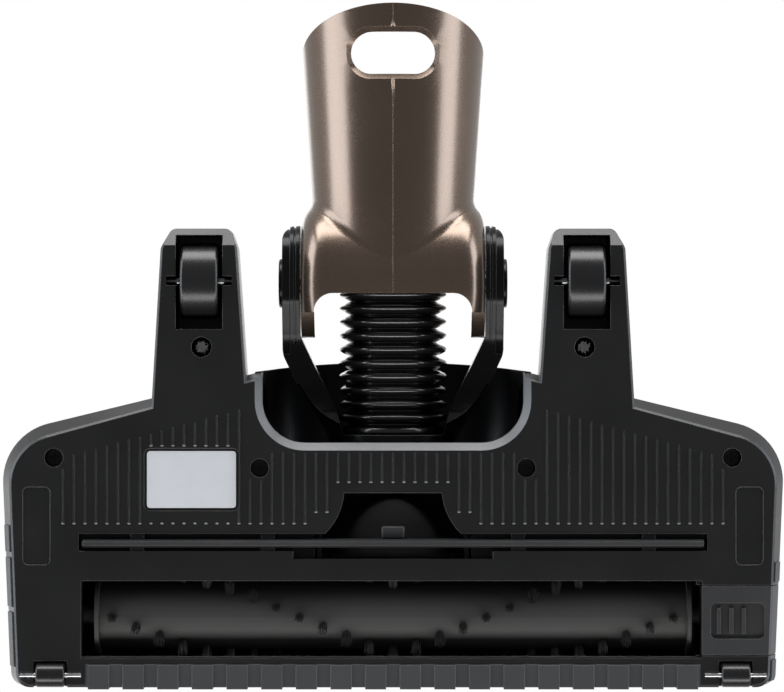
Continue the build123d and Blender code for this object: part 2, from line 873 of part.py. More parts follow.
def pad_bar(x0, x1, proud):
    """L-section of the bumper between two places across the front."""
    flange = block(x0, x1, front_y - proud, bumper_rear_y - proud * pad_inset,
                   sole_z - proud, sole_z + bumper_flange - seat_gap)
    lip = block(x0, x1, front_y - proud, front_y + bumper_lip - seat_gap,
                sole_z - proud, bumper_top_z - proud)
    return flange + lip


def make_front_bumper():
    """Soft strip along the front with a row of raised pads."""
    half = bumper_half - seat_gap
    body = pad_bar(-half, half, 0)
    first = -pad_pitch * (pad_count - 1) / 2
    pads = []
    for index in range(pad_count):
        x = first + index * pad_pitch
        pads.append(pad_bar(x - pad_width / 2, x + pad_width / 2, pad_height))
    return body + pads


def make_side_bumper(side, spans):
    """Raised soft pads along one side of the sole."""
    grown = sole_form(-side_pad_height) - sole_form(0)
    pads = []
    for y0, y1 in spans:
        x0, x1 = sorted((side * roller_x, side * (seam_side_half + 2)))
        pads.append(grown & block(x0, x1, front_y + y0, front_y + y1, side_pad_z0, side_pad_z1))
    return pads


def make_wiper_blade():
    """Soft wiper blade, thinner at its lip."""
    half = blade_thickness / 2
    tip = blade_tip_thickness / 2
    face = rounded_polygon([
        (blade_y - half, slot_roof_z, 0), (blade_y - half, blade_shoulder_z, 0),
        (blade_y - tip, blade_tip_z, 0), (blade_y + tip, blade_tip_z, 0),
        (blade_y + half, blade_shoulder_z, 0), (blade_y + half, slot_roof_z, 0),
    ])
    blade = prism_x(face, -blade_half, blade_half)
    return blade


def make_roll_tunnel():
    """Half-round channel over the brush roll, with its end walls."""
    outer_r = tunnel_r + thin_wall
    right_x = window_x1 + thin_wall
    left_x = door_x + gap
    body = rod_x(outer_r, left_x, right_x, roll_y, roll_z)
    body = body - rod_x(tunnel_r, left_x + thin_wall, right_x - thin_wall, roll_y, roll_z)
    below = block(left_x, right_x, roll_y - outer_r, roll_y + outer_r, roll_z - 2 * outer_r, plate_top_z)
    bar = block(left_x, right_x, roll_y - outer_r, bumper_rear_y, 0, plate_top_z + gap)
    body = body - below - bar
    body = body - rod_x(journal_r + 1, window_x1 - 1, right_x + 1, roll_y, roll_z)
    body = body - block(left_x - 1, left_x + 2 * thin_wall, door_y0 - gap, door_y1 + gap, 0, door_top_z + gap)
    return body - block(-suction_gap_half, suction_gap_half, roll_y, roll_y + outer_r + 1,
                        suction_gap_z0, suction_gap_z1)


def duct_profile(grow):
    """Side view of the duct from the tunnel up to the spigot."""
    rear = duct_rear_y + grow
    front = roll_y
    return rounded_polygon([
        (front, plate_top_z - 1, 0), (rear, plate_top_z - 1, 0), (rear, duct_roof_rear_z + grow, 0),
        (duct_rear_y - duct_roof_level, duct_roof_rear_z + grow, duct_roof_r),
        (roll_y + tunnel_r, duct_roof_front_z + grow, duct_roof_r),
        (front, duct_roof_front_z + grow, 0),
    ])


def make_suction_duct():
    """Duct from the mouth to the round spigot, with the bulkhead that closes the hood."""
    body = prism_x(duct_profile(thin_wall), -duct_half - thin_wall, duct_half + thin_wall)
    half = screw_places[2][0] - recess_r - boss_wall - gap
    slab = block(-half, half, bulkhead_y0, bulkhead_y1, seam_z, hood_top_z)
    bulkhead = hood_form(wall + gap) & slab
    bulkhead = bulkhead + block(-half, half, bulkhead_y0, bulkhead_y1, plate_top_z, seam_z)
    body = body + bulkhead + rod_y(spigot_r, duct_rear_y, spigot_end_y)
    body = body - prism_x(duct_profile(0), -duct_half, duct_half)
    body = body - rod_y(spigot_bore_r, duct_rear_y - wall, spigot_end_y + 1)
    body = body - block(-duct_half - wall, duct_half + wall, roll_y, duct_rear_y + wall, 0, plate_top_z)
    pocket_top = slot_roof_z + thin_wall
    body = body - block(-duct_half - wall, duct_half + wall, front_pocket_y - wall, slot_y1 + wall,
                        0, pocket_top)
    body = body - rod_x(tunnel_r + thin_wall, -hood_base_half, hood_base_half, roll_y, roll_z)
    ahead = block(-duct_half - wall, duct_half + wall, roll_y - 1, roll_y + tunnel_r, 0, hood_top_z)
    return body - ahead


def make_swivel_ring():
    """Ring on the spigot that keeps the yoke in place."""
    y0 = yoke_face_y + gap
    y1 = y0 + swivel_ring_width
    return rod_y(swivel_ring_r, y0, y1) - rod_y(spigot_r, y0 - 1, y1 + 1)


def make_brush_core():
    """Roll core with its end discs and journals."""
    body = rod_x(core_r, -roll_half, roll_half, roll_y, roll_z)
    for x in (-roll_half, roll_half - end_disc_thickness):
        body = body + rod_x(end_disc_r, x, x + end_disc_thickness, roll_y, roll_z)
    body = body + rod_x(journal_r, door_x - journal_length, -roll_half, roll_y, roll_z)
    return body + rod_x(journal_r, roll_half, bearing_post_x0 + bearing_width, roll_y, roll_z)


def tuft_places():
    """Place along X and angle of each tuft, in chevron rows."""
    count = int((roll_half - tuft_pitch / 2) / tuft_pitch)
    places = []
    for row in range(tuft_rows):
        for step in range(-count, count + 1):
            turn = row * 360 / tuft_rows + abs(step) * tuft_turn
            places.append((step * tuft_pitch, turn))
    return places


def make_bristle_tufts():
    """Bristle tufts standing in the core."""
    length = bristle_r - core_r + tuft_sink
    tuft = Pos(0, 0, core_r - tuft_sink + length / 2) * Cone(tuft_root_r, tuft_tip_r, length)
    return [Pos(x, roll_y, roll_z) * Rot(turn, 0, 0) * tuft for x, turn in tuft_places()]


def pulley(radius, y, z, bore_r):
    """Flanged belt pulley."""
    body = rod_x(radius, pulley_x0, pulley_x1, y, z)
    for x in (pulley_x0, pulley_x1 - flange_width):
        body = body + rod_x(radius + flange_height, x, x + flange_width, y, z)
    return body - rod_x(bore_r, pulley_x0 - 1, pulley_x1 + 1, y, z)


def make_roll_pulley():
    """Pulley fixed on the roll's right journal."""
    return pulley(roll_pulley_r, roll_y, roll_z, journal_r)


def make_motor_pulley():
    """Motor shaft with its pulley."""
    nose_x = motor_x0 + motor_length + motor_nose_length
    shaft = rod_x(motor_shaft_r, nose_x + gap, pulley_x1, motor_y, motor_z)
    return pulley(motor_pulley_r, motor_y, motor_z, motor_shaft_r) + shaft


def make_drive_bearing():
    """Bush in the bearing post."""
    x0 = bearing_post_x0
    x1 = x0 + bearing_width
    bore = rod_x(journal_r + running, x0 - 1, x1 + 1, roll_y, roll_z)
    return rod_x(bearing_r, x0, x1, roll_y, roll_z) - bore


def belt_loop(grow):
    """Side view of the belt's loop round both pulleys, widened by grow."""
    along = Vector(roll_y - motor_y, roll_z - motor_z)
    distance = along.length
    heading = math.atan2(along.Y, along.X)
    lean = math.acos((motor_pulley_r - roll_pulley_r) / distance)
    small_r = motor_pulley_r + gap + grow
    large_r = roll_pulley_r + gap + grow

    def rim(y, z, radius, angle):
        return (y + radius * math.cos(angle), z + radius * math.sin(angle))

    upper_small = rim(motor_y, motor_z, small_r, heading + lean)
    lower_small = rim(motor_y, motor_z, small_r, heading - lean)
    upper_large = rim(roll_y, roll_z, large_r, heading + lean)
    lower_large = rim(roll_y, roll_z, large_r, heading - lean)
    return make_face([
        ThreePointArc(lower_small, rim(motor_y, motor_z, small_r, heading + math.pi), upper_small),
        Line(upper_small, upper_large),
        ThreePointArc(upper_large, rim(roll_y, roll_z, large_r, heading), lower_large),
        Line(lower_large, lower_small),
    ])


def make_drive_belt():
    """Flat belt round both pulleys."""
    x0 = pulley_x0 + flange_width + gap
    x1 = pulley_x1 - flange_width - gap
    return prism_x(belt_loop(belt_thickness), x0, x1) - prism_x(belt_loop(0), x0, x1)


def make_motor():
    """Motor can with its front nose."""
    x1 = motor_x0 + motor_length
    can = rod_x(motor_r, motor_x0, x1, motor_y, motor_z)
    can = chamfer(can.edges().filter_by(GeomType.CIRCLE), edge_bevel)
    return can + rod_x(motor_nose_r, x1 - 1, x1 + motor_nose_length, motor_y, motor_z)


def make_roll_door():
    """Sliding door that carries the roll's left bush."""
    space = block(-seam_side_half - cut_reach, door_x, door_y0, door_y1, sole_z, door_top_z)
    body = (sole_form(0) + cover_form(0)) & space
    pocket_x1 = door_x - door_bearing_wall
    hollow = block(-seam_side_half, pocket_x1, door_y0 + wall, door_y1 - wall, plate_top_z, door_top_z + 1)
    inside = sole_form(wall) + cover_form(wall)
    body = body - (hollow & inside)
    body = body + rod_x(bush_r + wall, pocket_x1 - journal_length + door_bearing_wall, door_x, roll_y, roll_z)
    body = body - rod_x(bush_r, -seam_side_half + 2 * wall, door_x + 1, roll_y, roll_z)
    grip = rounded_polygon([
        (grip_x0, grip_y0, grip_corner_r), (grip_x1, grip_y0, grip_corner_r),
        (grip_x1, grip_y1, grip_corner_r), (grip_x0, grip_y1, grip_corner_r),
    ])
    body = body - prism_z(grip, sole_z - 1, sole_z + grip_depth)
    ribs = []
    middle_y = (grip_y0 + grip_y1) / 2
    for index in range(grip_rib_count):
        x = grip_rib_first_x - index * grip_rib_pitch
        ribs.append(block(x - grip_rib_width / 2, x + grip_rib_width / 2, middle_y - grip_rib_length / 2,
                          middle_y + grip_rib_length / 2, sole_z, sole_z + plate))
    return body + ribs


def make_door_bush():
    """Bush in the door that the roll's left journal turns in."""
    x0 = door_x - journal_length - running
    body = rod_x(bush_r, x0, door_x, roll_y, roll_z)
    return body - rod_x(journal_r + running, x0 - 1, door_x + 1, roll_y, roll_z)


def make_rear_wheel(side):
    """Moulded rear wheel."""
    x = side * wheel_x
    wheel = rod_x(wheel_r, x - wheel_width / 2, x + wheel_width / 2, wheel_y, wheel_r)
    wheel = fillet(wheel.edges().filter_by(GeomType.CIRCLE), wheel_edge_r)
    return wheel - rod_x(rear_axle_r + running, x - wheel_width, x + wheel_width, wheel_y, wheel_r)


def make_rear_axle(side):
    """Steel axle of a rear wheel."""
    half = rear_axle_length / 2
    return rod_x(rear_axle_r, side * wheel_x - half, side * wheel_x + half, wheel_y, wheel_r)


def make_front_roller(side):
    """Small roller at a front corner."""
    x = side * roller_x
    roller = rod_x(roller_r, x - roller_width / 2, x + roller_width / 2, roller_y, roller_r)
    roller = fillet(roller.edges().filter_by(GeomType.CIRCLE), roller_edge_r)
    return roller - rod_x(roller_axle_r + running, x - roller_width, x + roller_width, roller_y, roller_r)


def make_roller_axle(side):
    """Steel wire axle of a front roller."""
    half = roller_axle_length / 2
    return rod_x(roller_axle_r, side * roller_x - half, side * roller_x + half, roller_y, roller_r)


def screw(x, y, head_r):
    """Screw driven upwards, with a cross recess in its head."""
    head = rod_z(head_r, screw_seat_z - screw_head_height, screw_seat_z, x, y)
    shank = rod_z(shank_r, screw_seat_z, screw_seat_z + shank_length, x, y)
    z0 = screw_seat_z - screw_head_height
    cross = block(x - cross_length / 2, x + cross_length / 2, y - cross_width / 2, y + cross_width / 2,
                  z0, z0 + cross_depth)
    upright = block(x - cross_width / 2, x + cross_width / 2, y - cross_length / 2, y + cross_length / 2,
                    z0, z0 + cross_depth)
    return head + shank - cross - upright


def make_sole_screws():
    """Screws that hold sole and cover together."""
    return [screw(x, y, recess_r - gap) for x, y in screw_places]


def make_arm_screws():
    """Screws in the wheel arms."""
    return [screw(side * arm_screw_x, arm_screw_y, arm_recess_r - gap) for side in (1, -1)]


def make_blank_label():
    """Plain label plate."""
    face = rounded_polygon([
        (label_x0, label_y0, label_corner_r), (label_x1, label_y0, label_corner_r),
        (label_x1, label_y1, label_corner_r), (label_x0, label_y1, label_corner_r),
    ])
    return prism_z(face, sole_z + label_sink - label_thickness, sole_z + label_sink)


def make_control_board():
    """Board with its relay and two capacitors."""
    body = block(board_x0, board_x1, board_y0, board_y1, board_z, board_z + board_thickness)
    top = board_z + board_thickness
    middle_y = (board_y0 + board_y1) / 2
    relay_x = board_x0 + relay_start
    body = body + block(relay_x, relay_x + relay_length, middle_y - relay_width / 2,
                        middle_y + relay_width / 2, top, top + relay_height)
    for place in capacitor_places:
        body = body + rod_z(post_r, top, top + capacitor_height, board_x1 - place, middle_y)
    return body


def yoke_plan():
    """Plan of the yoke with the window that the hose runs through."""
    outer = rounded_polygon(mirrored([
        (yoke_base_half, yoke_front_y, yoke_base_corner_r),
        (yoke_arm_start_x, yoke_arm_start_y, yoke_shoulder_r),
        (yoke_arm_mid_x, yoke_arm_mid_y, yoke_arm_r), (ear_outer_x, yoke_ear_start_y, yoke_ear_r),
        (ear_outer_x, ear_end_y, ear_end_corner_r),
    ]))
    arm = ear_outer_x - ear_inner_x
    window = rounded_polygon(mirrored([
        (yoke_window_r - yoke_window_draw, yoke_arm_start_y, 0),
        (yoke_window_r, yoke_arm_start_y + yoke_window_length, yoke_window_corner_r),
        (yoke_arm_mid_x - yoke_arm_width, yoke_arm_mid_y + yoke_arm_shift, yoke_arm_inner_r),
        (ear_inner_x, yoke_ear_start_y + yoke_inner_bend, yoke_ear_inner_r),
        (ear_inner_x, ear_end_y + arm, 0),
    ]))
    return outer - window


def yoke_side(inset):
    """Side view of the yoke: high base, slim arm and round ear, drawn in by inset."""
    base_half = yoke_base_r - yoke_base_trim - inset
    arm_half = yoke_arm_half_height - inset
    ear_front = pivot_y - ear_r
    half_view = [
        (yoke_front_y, base_half, yoke_base_edge_r), (yoke_arm_start_y + 1, base_half, yoke_base_end_r),
        (yoke_arm_start_y + yoke_arm_fall, arm_half, yoke_fall_r),
        (ear_front - yoke_rise_start, arm_half, yoke_rise_r),
        (pivot_y - yoke_rise_end, ear_r - inset, ear_front_round_r),
        (ear_end_y - inset, ear_r - inset, ear_end_round_r),
    ]
    upper = [(y, axis_z + height, radius) for y, height, radius in half_view]
    lower = [(y, axis_z - height, radius) for y, height, radius in reversed(half_view)]
    return rounded_polygon(upper + lower)


def yoke_sweep():
    """Space in which the yoke can swivel: round at its base, wider along the arms."""
    face = make_face(Polyline(
        (yoke_front_y - 1, 0), (yoke_front_y - 1, yoke_base_r), (yoke_arm_start_y, yoke_base_r + gap),
        (yoke_arm_mid_y, yoke_sweep_r), (yoke_arm_mid_y, 0), close=True))
    base = revolve(Pos(0, 0, axis_z) * (Plane.YZ * face), axis=Axis((0, 0, axis_z), (0, 1, 0)))
    half = ear_outer_x + 1
    return base + block(-half, half, yoke_arm_mid_y, ear_end_y + 1, axis_z - half, axis_z + half)


def make_yoke():
    """Fork that swivels on the spigot and carries the neck between its ears."""
    half = ear_outer_x + 1
    body = prism_z(yoke_plan(), axis_z - yoke_base_r, axis_z + yoke_base_r)
    body = body & prism_x(yoke_side(0), -half, half) & yoke_sweep()
    step = block(ear_step_x, half, yoke_ear_start_y, ear_end_y + 1, 0, hood_top_z)
    step = step - prism_x(yoke_side(ear_step), -half, half)
    groove = block(ear_groove_x0, ear_groove_x1, yoke_ear_start_y + ear_groove_start, ear_end_y + 1, 0, hood_top_z)
    groove = groove - prism_x(yoke_side(ear_step / 2), -half, half)
    body = body - right_and_left(step) - right_and_left(groove)
    body = body - rod_y(spigot_r + running, yoke_front_y - 1, yoke_face_y + 1)
    body = body - rod_y(yoke_window_r, yoke_face_y, ear_end_y)
    return body - right_and_left(rod_x(pivot_pin_r, 0, half, pivot_y, axis_z))


def make_hinge_pin(side):
    """Pin through an ear into the neck's cheek."""
    x0, x1 = sorted((side * pivot_pin_inner_x, side * ear_outer_x))
    return rod_x(pivot_pin_r, x0, x1, pivot_y, axis_z)


def make_pivot_cap(side):
    """Round cap over a hinge pin."""
    x0, x1 = sorted((side * ear_outer_x, side * (ear_outer_x + cap_height)))
    cap = rod_x(cap_r, x0, x1, pivot_y, axis_z)
    outer_edge = cap.edges().filter_by(GeomType.CIRCLE).sort_by(Axis.X)[-1 if side > 0 else 0]
    return fillet(outer_edge, cap_edge_r)


def hose_profile():
    """Half section of the corrugated hose, as (y, radius)."""
    crest, root = hose_crest_r, hose_root_r
    start = hose_start_y
    quarter = hose_pitch / 4
    cuff_end = start + hose_cuff_length
    outer = [(start, crest - hose_wall, 0), (cuff_end, crest - hose_wall, hose_round)]
    for index in range(hose_ribs):
        y = cuff_end + index * hose_pitch
        outer.append((y + hose_lead, root, hose_round))
        outer.append((y + quarter + hose_lead, root, hose_round))
        outer.append((y + 2 * quarter + hose_lead, crest, hose_round))
        outer.append((y + 3 * quarter + hose_lead, crest, hose_round))
    end = cuff_end + hose_ribs * hose_pitch
    outer.append((end, root, hose_round))
    outer.append((end + hose_cuff_length, root, 0))
    return outer


def make_hose():
    """Corrugated hose between the spigot and the neck's collar."""
    outer = hose_profile()
    bore = [(y, radius - hose_wall, round_r) for y, radius, round_r in outer]
    bore[:2] = [(y, spigot_r + seat_gap, round_r) for y, radius, round_r in bore[:2]]
    solids = []
    for profile in (outer, bore):
        low = [(profile[end][0], hose_section_low, 0) for end in (0, -1)]
        face = rounded_polygon([low[0]] + profile + [low[1]])
        solids.append(face)
    section = solids[0] - solids[1]
    upright = Pos(0, 0, axis_z) * (Plane.YZ * section)
    return revolve(upright, axis=Axis((0, 0, axis_z), (0, 1, 0)))


def neck_radius(y):
    """Outer radius of the conical tube."""
    return neck_r0 + (y - neck_r0_y) * (neck_r1 - neck_r0) / (neck_r1_y - neck_r0_y)


def neck_cone(y0, y1, grow):
    """Stretch of the conical tube's outside."""
    r0 = neck_radius(y0) + grow
    r1 = neck_radius(y1) + grow
    face = make_face(Polyline((y0, 0), (y1, 0), (y1, r1), (y0, r0), close=True))
    return revolve(Pos(0, 0, axis_z) * (Plane.YZ * face), axis=Axis((0, 0, axis_z), (0, 1, 0)))


def barrel_form(grow):
    """Cross barrel at the hinge, with rounded ends."""
    half = cheek_outer_x
    radius = barrel_r + grow
    face = rounded_polygon([
        (half, 0, 0), (half, radius, barrel_end_r), (-half, radius, barrel_end_r), (-half, 0, 0),
    ])
    place = Pos(0, pivot_y, axis_z) * (Plane.XZ * face)
    return revolve(place, axis=Axis((0, pivot_y, axis_z), (1, 0, 0)))


def neck_outside(grow):
    """Outside of the neck: conical tube run into a cross barrel."""
    far = neck_r1_y + 2 * neck_reach
    body = neck_cone(pivot_y, far, grow) + barrel_form(grow)
    seam = [edge for edge in body.edges() if edge.geom_type not in (GeomType.CIRCLE, GeomType.LINE)]
    return fillet(seam, saddle_r)


def fork_outline():
    """Plan of the space between the cheeks, open to the front."""
    front = pivot_y - barrel_r - 1
    return rounded_polygon([
        (cheek_inner_x, front, 0), (cheek_inner_x, neck_front_y, neck_corner_r),
        (-cheek_inner_x, neck_front_y, neck_corner_r), (-cheek_inner_x, front, 0),
    ])


def neck_cuts():
    """Everything cut away from the neck's outside: end, scoop and front of the barrel."""
    far = neck_r1_y + 3 * neck_reach
    lean = neck_reach / neck_r1
    high = 2 * neck_r1
    end = rounded_polygon([
        (neck_r1_y - lean * high, axis_z + high, 0), (neck_r1_y + lean * high, axis_z - high, 0),
        (far, axis_z - high, 0), (far, axis_z + high, 0),
    ])
    front_y0 = pivot_y - barrel_r - 1
    scoop = rounded_polygon([
        (front_y0, axis_z, 0), (scoop_y, axis_z, scoop_r),
        (scoop_top_y, axis_z + barrel_r + 2, 0), (front_y0, axis_z + barrel_r + 2, 0),
    ])
    side = block(0, cheek_outer_x + 1, front_y0, neck_front_y - neck_corner_r, 0, axis_z + 1)
    front = prism_z(fork_outline(), 0, axis_z + 1) + right_and_left(side)
    return prism_x(end, -high, high) + prism_x(scoop, -high, high) + front


def make_neck_tube():
    """Neck with its cheeks, wand socket and latch slot."""
    body = neck_outside(0)
    body = body - neck_cuts()
    cheeks = rod_x(cheek_r, -cheek_outer_x, cheek_outer_x, pivot_y, axis_z)
    body = body + cheeks
    body = body - prism_z(fork_outline(), 0, hood_top_z + barrel_r)
    inner_barrel = rod_x(barrel_r - barrel_wall, -cheek_inner_x, cheek_inner_x, pivot_y, axis_z)
    body = body - inner_barrel
    body = body - rod_y(collar_seat_r, pivot_y, socket_y0)
    body = body - rod_y(socket_r, socket_y0, socket_y1)
    far = neck_r1_y + 2 * neck_reach
    mouth = make_face(Polyline((socket_y1, 0), (far, 0), (far, socket_mouth_r),
                               (socket_y1, socket_r), close=True))
    body = body - revolve(Pos(0, 0, axis_z) * (Plane.YZ * mouth), axis=Axis((0, 0, axis_z), (0, 1, 0)))
    body = body - right_and_left(rod_x(pivot_pin_r + running, 0, cheek_outer_x + 1, pivot_y, axis_z))
    return latch_rim(body - latch_slot()) + neck_bead()


def neck_bead():
    """Fine parting bead along the neck's underside, broken at the latch slot."""
    tip_y = neck_r1_y + neck_reach
    strip = block(-bead_width / 2, bead_width / 2, neck_front_y, tip_y, 0, axis_z)
    bead = (neck_outside(bead_height) - neck_outside(-bead_height)) & strip
    half = latch_width / 2 + latch_rim_width
    slot = block(-latch_length, latch_length, neck_r1_y - half, neck_r1_y + half, 0, axis_z)
    return bead - neck_cuts() - slot


def latch_slot():
    """Stadium slot through the lower wall."""
    hole = Pos(0, neck_r1_y, 0) * SlotOverall(latch_length, latch_width)
    return extrude(hole, amount=axis_z, dir=(0, 0, 1))


def latch_rim(body):
    """Bevelled rim around the latch slot's outer edge."""
    half_x = latch_length / 2 + gap
    half_y = latch_width / 2 + gap
    edges = []
    for edge in body.edges():
        box = edge.bounding_box()
        inside = abs(box.min.X) < half_x and abs(box.max.X) < half_x
        inside = inside and box.min.Y > neck_r1_y - half_y and box.max.Y < neck_r1_y + half_y
        middle = edge @ 0.5
        depth = neck_radius(middle.Y) - ((middle.X) ** 2 + (middle.Z - axis_z) ** 2) ** 0.5
        if inside and box.max.Z < axis_z and depth < gap:
            edges.append(edge)
    return chamfer(edges, latch_rim_width)


def contact_places():
    """Centres across the collar of the two contacts."""
    return ((-contact_half_pitch, axis_z + contact_drop), (contact_half_pitch, axis_z + contact_drop))


def make_hose_collar():
    """Collar in the neck that the hose's rear cuff sits on."""
    y1 = socket_y0 - seat_gap
    spigot = hose_root_r - hose_wall - running
    bore = spigot - collar_spigot_wall
    body = rod_y(collar_seat_r, collar_front_y, y1)
    body = body + rod_y(spigot, collar_front_y - collar_spigot_length, collar_front_y)
    body = body - rod_y(bore, collar_front_y - collar_spigot_length - 1, y1 + 1)
    for x, z in contact_places():
        body = body - rod_y(contact_r, y1 - contact_length, y1 + 1, x, z)
    return body


def make_power_contacts():
    """Two contacts, flush with the collar's rear face."""
    y1 = socket_y0 - seat_gap
    return [rod_y(contact_r, y1 - contact_length, y1, x, z) for x, z in contact_places()]


def all_nodes():
    """Name and maker of every piece."""
    nodes = {
        "sole_plate": make_sole_plate(),
        "top_cover": make_top_cover(),
        "front_bumper": make_front_bumper(),
        "side_bumper_right": make_side_bumper(1, right_side_pads),
        "side_bumper_left": make_side_bumper(-1, left_side_pads),
        "wiper_blade": make_wiper_blade(),
        "blank_label": make_blank_label(),
        "sole_screws": make_sole_screws(),
        "arm_screws": make_arm_screws(),
        "roll_tunnel": make_roll_tunnel(),
        "suction_duct": make_suction_duct(),
        "swivel_ring": make_swivel_ring(),
        "motor": make_motor(),
        "drive_belt": make_drive_belt(),
        "drive_bearing": make_drive_bearing(),
        "control_board": make_control_board(),
        "motor_pulley": make_motor_pulley(),
        "brush_core": make_brush_core(),
        "bristle_tufts": make_bristle_tufts(),
        "roll_pulley": make_roll_pulley(),
        "roll_door": make_roll_door(),
        "door_bush": make_door_bush(),
        "yoke": make_yoke(),
        "hose": make_hose(),
        "neck_tube": make_neck_tube(),
        "hose_collar": make_hose_collar(),
        "power_contacts": make_power_contacts(),
    }
    for name, side in (("right", 1), ("left", -1)):
        nodes["rear_wheel_" + name] = make_rear_wheel(side)
        nodes["rear_axle_" + name] = make_rear_axle(side)
        nodes["front_roller_" + name] = make_front_roller(side)
        nodes["roller_axle_" + name] = make_roller_axle(side)
        nodes["hinge_pin_" + name] = make_hinge_pin(side)
        nodes["pivot_cap_" + name] = make_pivot_cap(side)
    return nodes


def solids_of(piece):
    """Separate solids of a piece."""
    shapes = piece if isinstance(piece, (list, tuple)) else [piece]
    return [solid for shape in shapes for solid in shape.solids()]


def main():
    """Write one file for each piece."""
    os.makedirs("parts", exist_ok=True)
    for name, piece in all_nodes().items():
        solids = solids_of(piece)
        shape = solids[0] if len(solids) == 1 else Compound(children=solids)
        export_step(shape, "parts/" + name + ".step")


if __name__ == "__main__":
    main()
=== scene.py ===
"""Looks of a powered vacuum floor brush, seen from below as it is photographed."""

import json
import logging
import math
import random
from dataclasses import dataclass
from enum import Enum
from typing import Dict, List, Optional, Tuple, Union

import bmesh
import bpy
from mathutils import Matrix, Vector


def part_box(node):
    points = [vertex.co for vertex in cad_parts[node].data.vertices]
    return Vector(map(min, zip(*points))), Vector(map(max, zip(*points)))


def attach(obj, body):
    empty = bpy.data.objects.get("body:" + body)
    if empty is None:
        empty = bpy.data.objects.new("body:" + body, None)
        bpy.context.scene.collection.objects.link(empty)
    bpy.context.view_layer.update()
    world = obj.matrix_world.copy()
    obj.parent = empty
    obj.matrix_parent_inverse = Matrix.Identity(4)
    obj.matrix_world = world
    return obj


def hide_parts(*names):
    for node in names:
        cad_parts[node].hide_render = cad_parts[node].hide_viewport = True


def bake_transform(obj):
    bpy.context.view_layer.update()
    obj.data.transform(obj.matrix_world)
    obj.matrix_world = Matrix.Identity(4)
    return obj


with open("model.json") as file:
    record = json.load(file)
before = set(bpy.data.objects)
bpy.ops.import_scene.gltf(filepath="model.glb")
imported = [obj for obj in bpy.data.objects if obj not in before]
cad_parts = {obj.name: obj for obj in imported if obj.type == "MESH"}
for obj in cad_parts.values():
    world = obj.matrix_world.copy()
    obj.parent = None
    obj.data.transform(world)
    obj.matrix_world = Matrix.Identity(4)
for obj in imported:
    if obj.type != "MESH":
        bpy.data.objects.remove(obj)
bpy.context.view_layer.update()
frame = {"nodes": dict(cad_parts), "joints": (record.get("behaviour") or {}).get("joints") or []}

LOG = logging.getLogger("vacuum_brush")
MM = 0.001
IMAGE_WIDTH, IMAGE_HEIGHT = 784, 692

JOINT_PLACES = {joint["name"]: Vector(joint["pos_m"]) for joint in frame["joints"] if "pos_m" in joint}
ROLL_AXIS = JOINT_PLACES["roll_spin"]
TILT_AXIS = JOINT_PLACES["neck_tilt"]
HOSE_LOW, HOSE_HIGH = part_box("hose")
TUFTS_LOW, TUFTS_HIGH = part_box("bristle_tufts")
LABEL_LOW, LABEL_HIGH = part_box("blank_label")
ARM_SCREWS_LOW, ARM_SCREWS_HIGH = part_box("arm_screws")
BLADE_REAR_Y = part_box("wiper_blade")[1].y
RIB_HEIGHT = 0.35 * MM
SOLE_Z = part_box("sole_plate")[0].z + RIB_HEIGHT

Colour = Tuple[float, float, float]
Key = Union[str, int]
DUST: Colour = (0.42, 0.41, 0.39)
# Pale colour of edges: partly wear, partly painted highlight.
EDGE_WEAR_AND_HIGHLIGHT: Colour = (0.2, 0.2, 0.205)
COOL: Colour = (0.93, 1.0, 1.09)


def scaled(colour: Colour, gain: float, lift: float = 0.0) -> Colour:
    """Make a colour lighter or darker.

    Args:
        colour: The colour.
        gain: Factor on each channel.
        lift: Amount added to each channel.

    Returns:
        The new colour, at most white.
    """
    return tuple(min(1.0, channel * gain + lift) for channel in colour)


class Wire:
    """An output socket with arithmetic that adds Math nodes to its tree."""

    def __init__(self, tree: "NodeTree", socket: Optional[bpy.types.NodeSocket]) -> None:
        """Keep the tree and the socket that the wire comes from.

        Args:
            tree: The tree.
            socket: The output, none for a node that ends a tree.
        """
        self.tree = tree
        self.socket = socket

    def math(self, operation: str, *operands: Union["Wire", float]) -> "Wire":
        """Add a Math node.

        Args:
            operation: The Math node's operation.
            operands: Its inputs in order, wires or numbers.

        Returns:
            The node's value.
        """
        return self.tree.node("ShaderNodeMath", {"operation": operation}, dict(enumerate(operands)))

    def size(self) -> "Wire":
        """The value without its sign."""
        return self.math("ABSOLUTE", self)

    def root(self) -> "Wire":
        """The value's square root."""
        return self.math("SQRT", self)

    def at_most(self, limit: float) -> "Wire":
        """The value, or the limit where the value is higher."""
        return self.math("MINIMUM", self, limit)

    def at_least(self, limit: float) -> "Wire":
        """The value, or the limit where the value is lower."""
        return self.math("MAXIMUM", self, limit)

    def __add__(self, other: Union["Wire", float]) -> "Wire":
        """Sum."""
        return self.math("ADD", self, other)

    __radd__ = __add__

    def __sub__(self, other: Union["Wire", float]) -> "Wire":
        """Difference."""
        return self.math("SUBTRACT", self, other)

    def __rsub__(self, other: float) -> "Wire":
        """Difference from a number."""
        return self.math("SUBTRACT", other, self)

    def __mul__(self, other: Union["Wire", float]) -> "Wire":
        """Product."""
        return self.math("MULTIPLY", self, other)

    __rmul__ = __mul__

    def __lt__(self, other: Union["Wire", float]) -> "Wire":
        """1 where the value is below the other, else 0."""
        return self.math("LESS_THAN", self, other)

    def __gt__(self, other: Union["Wire", float]) -> "Wire":
        """1 where the value is above the other, else 0."""
        return self.math("GREATER_THAN", self, other)


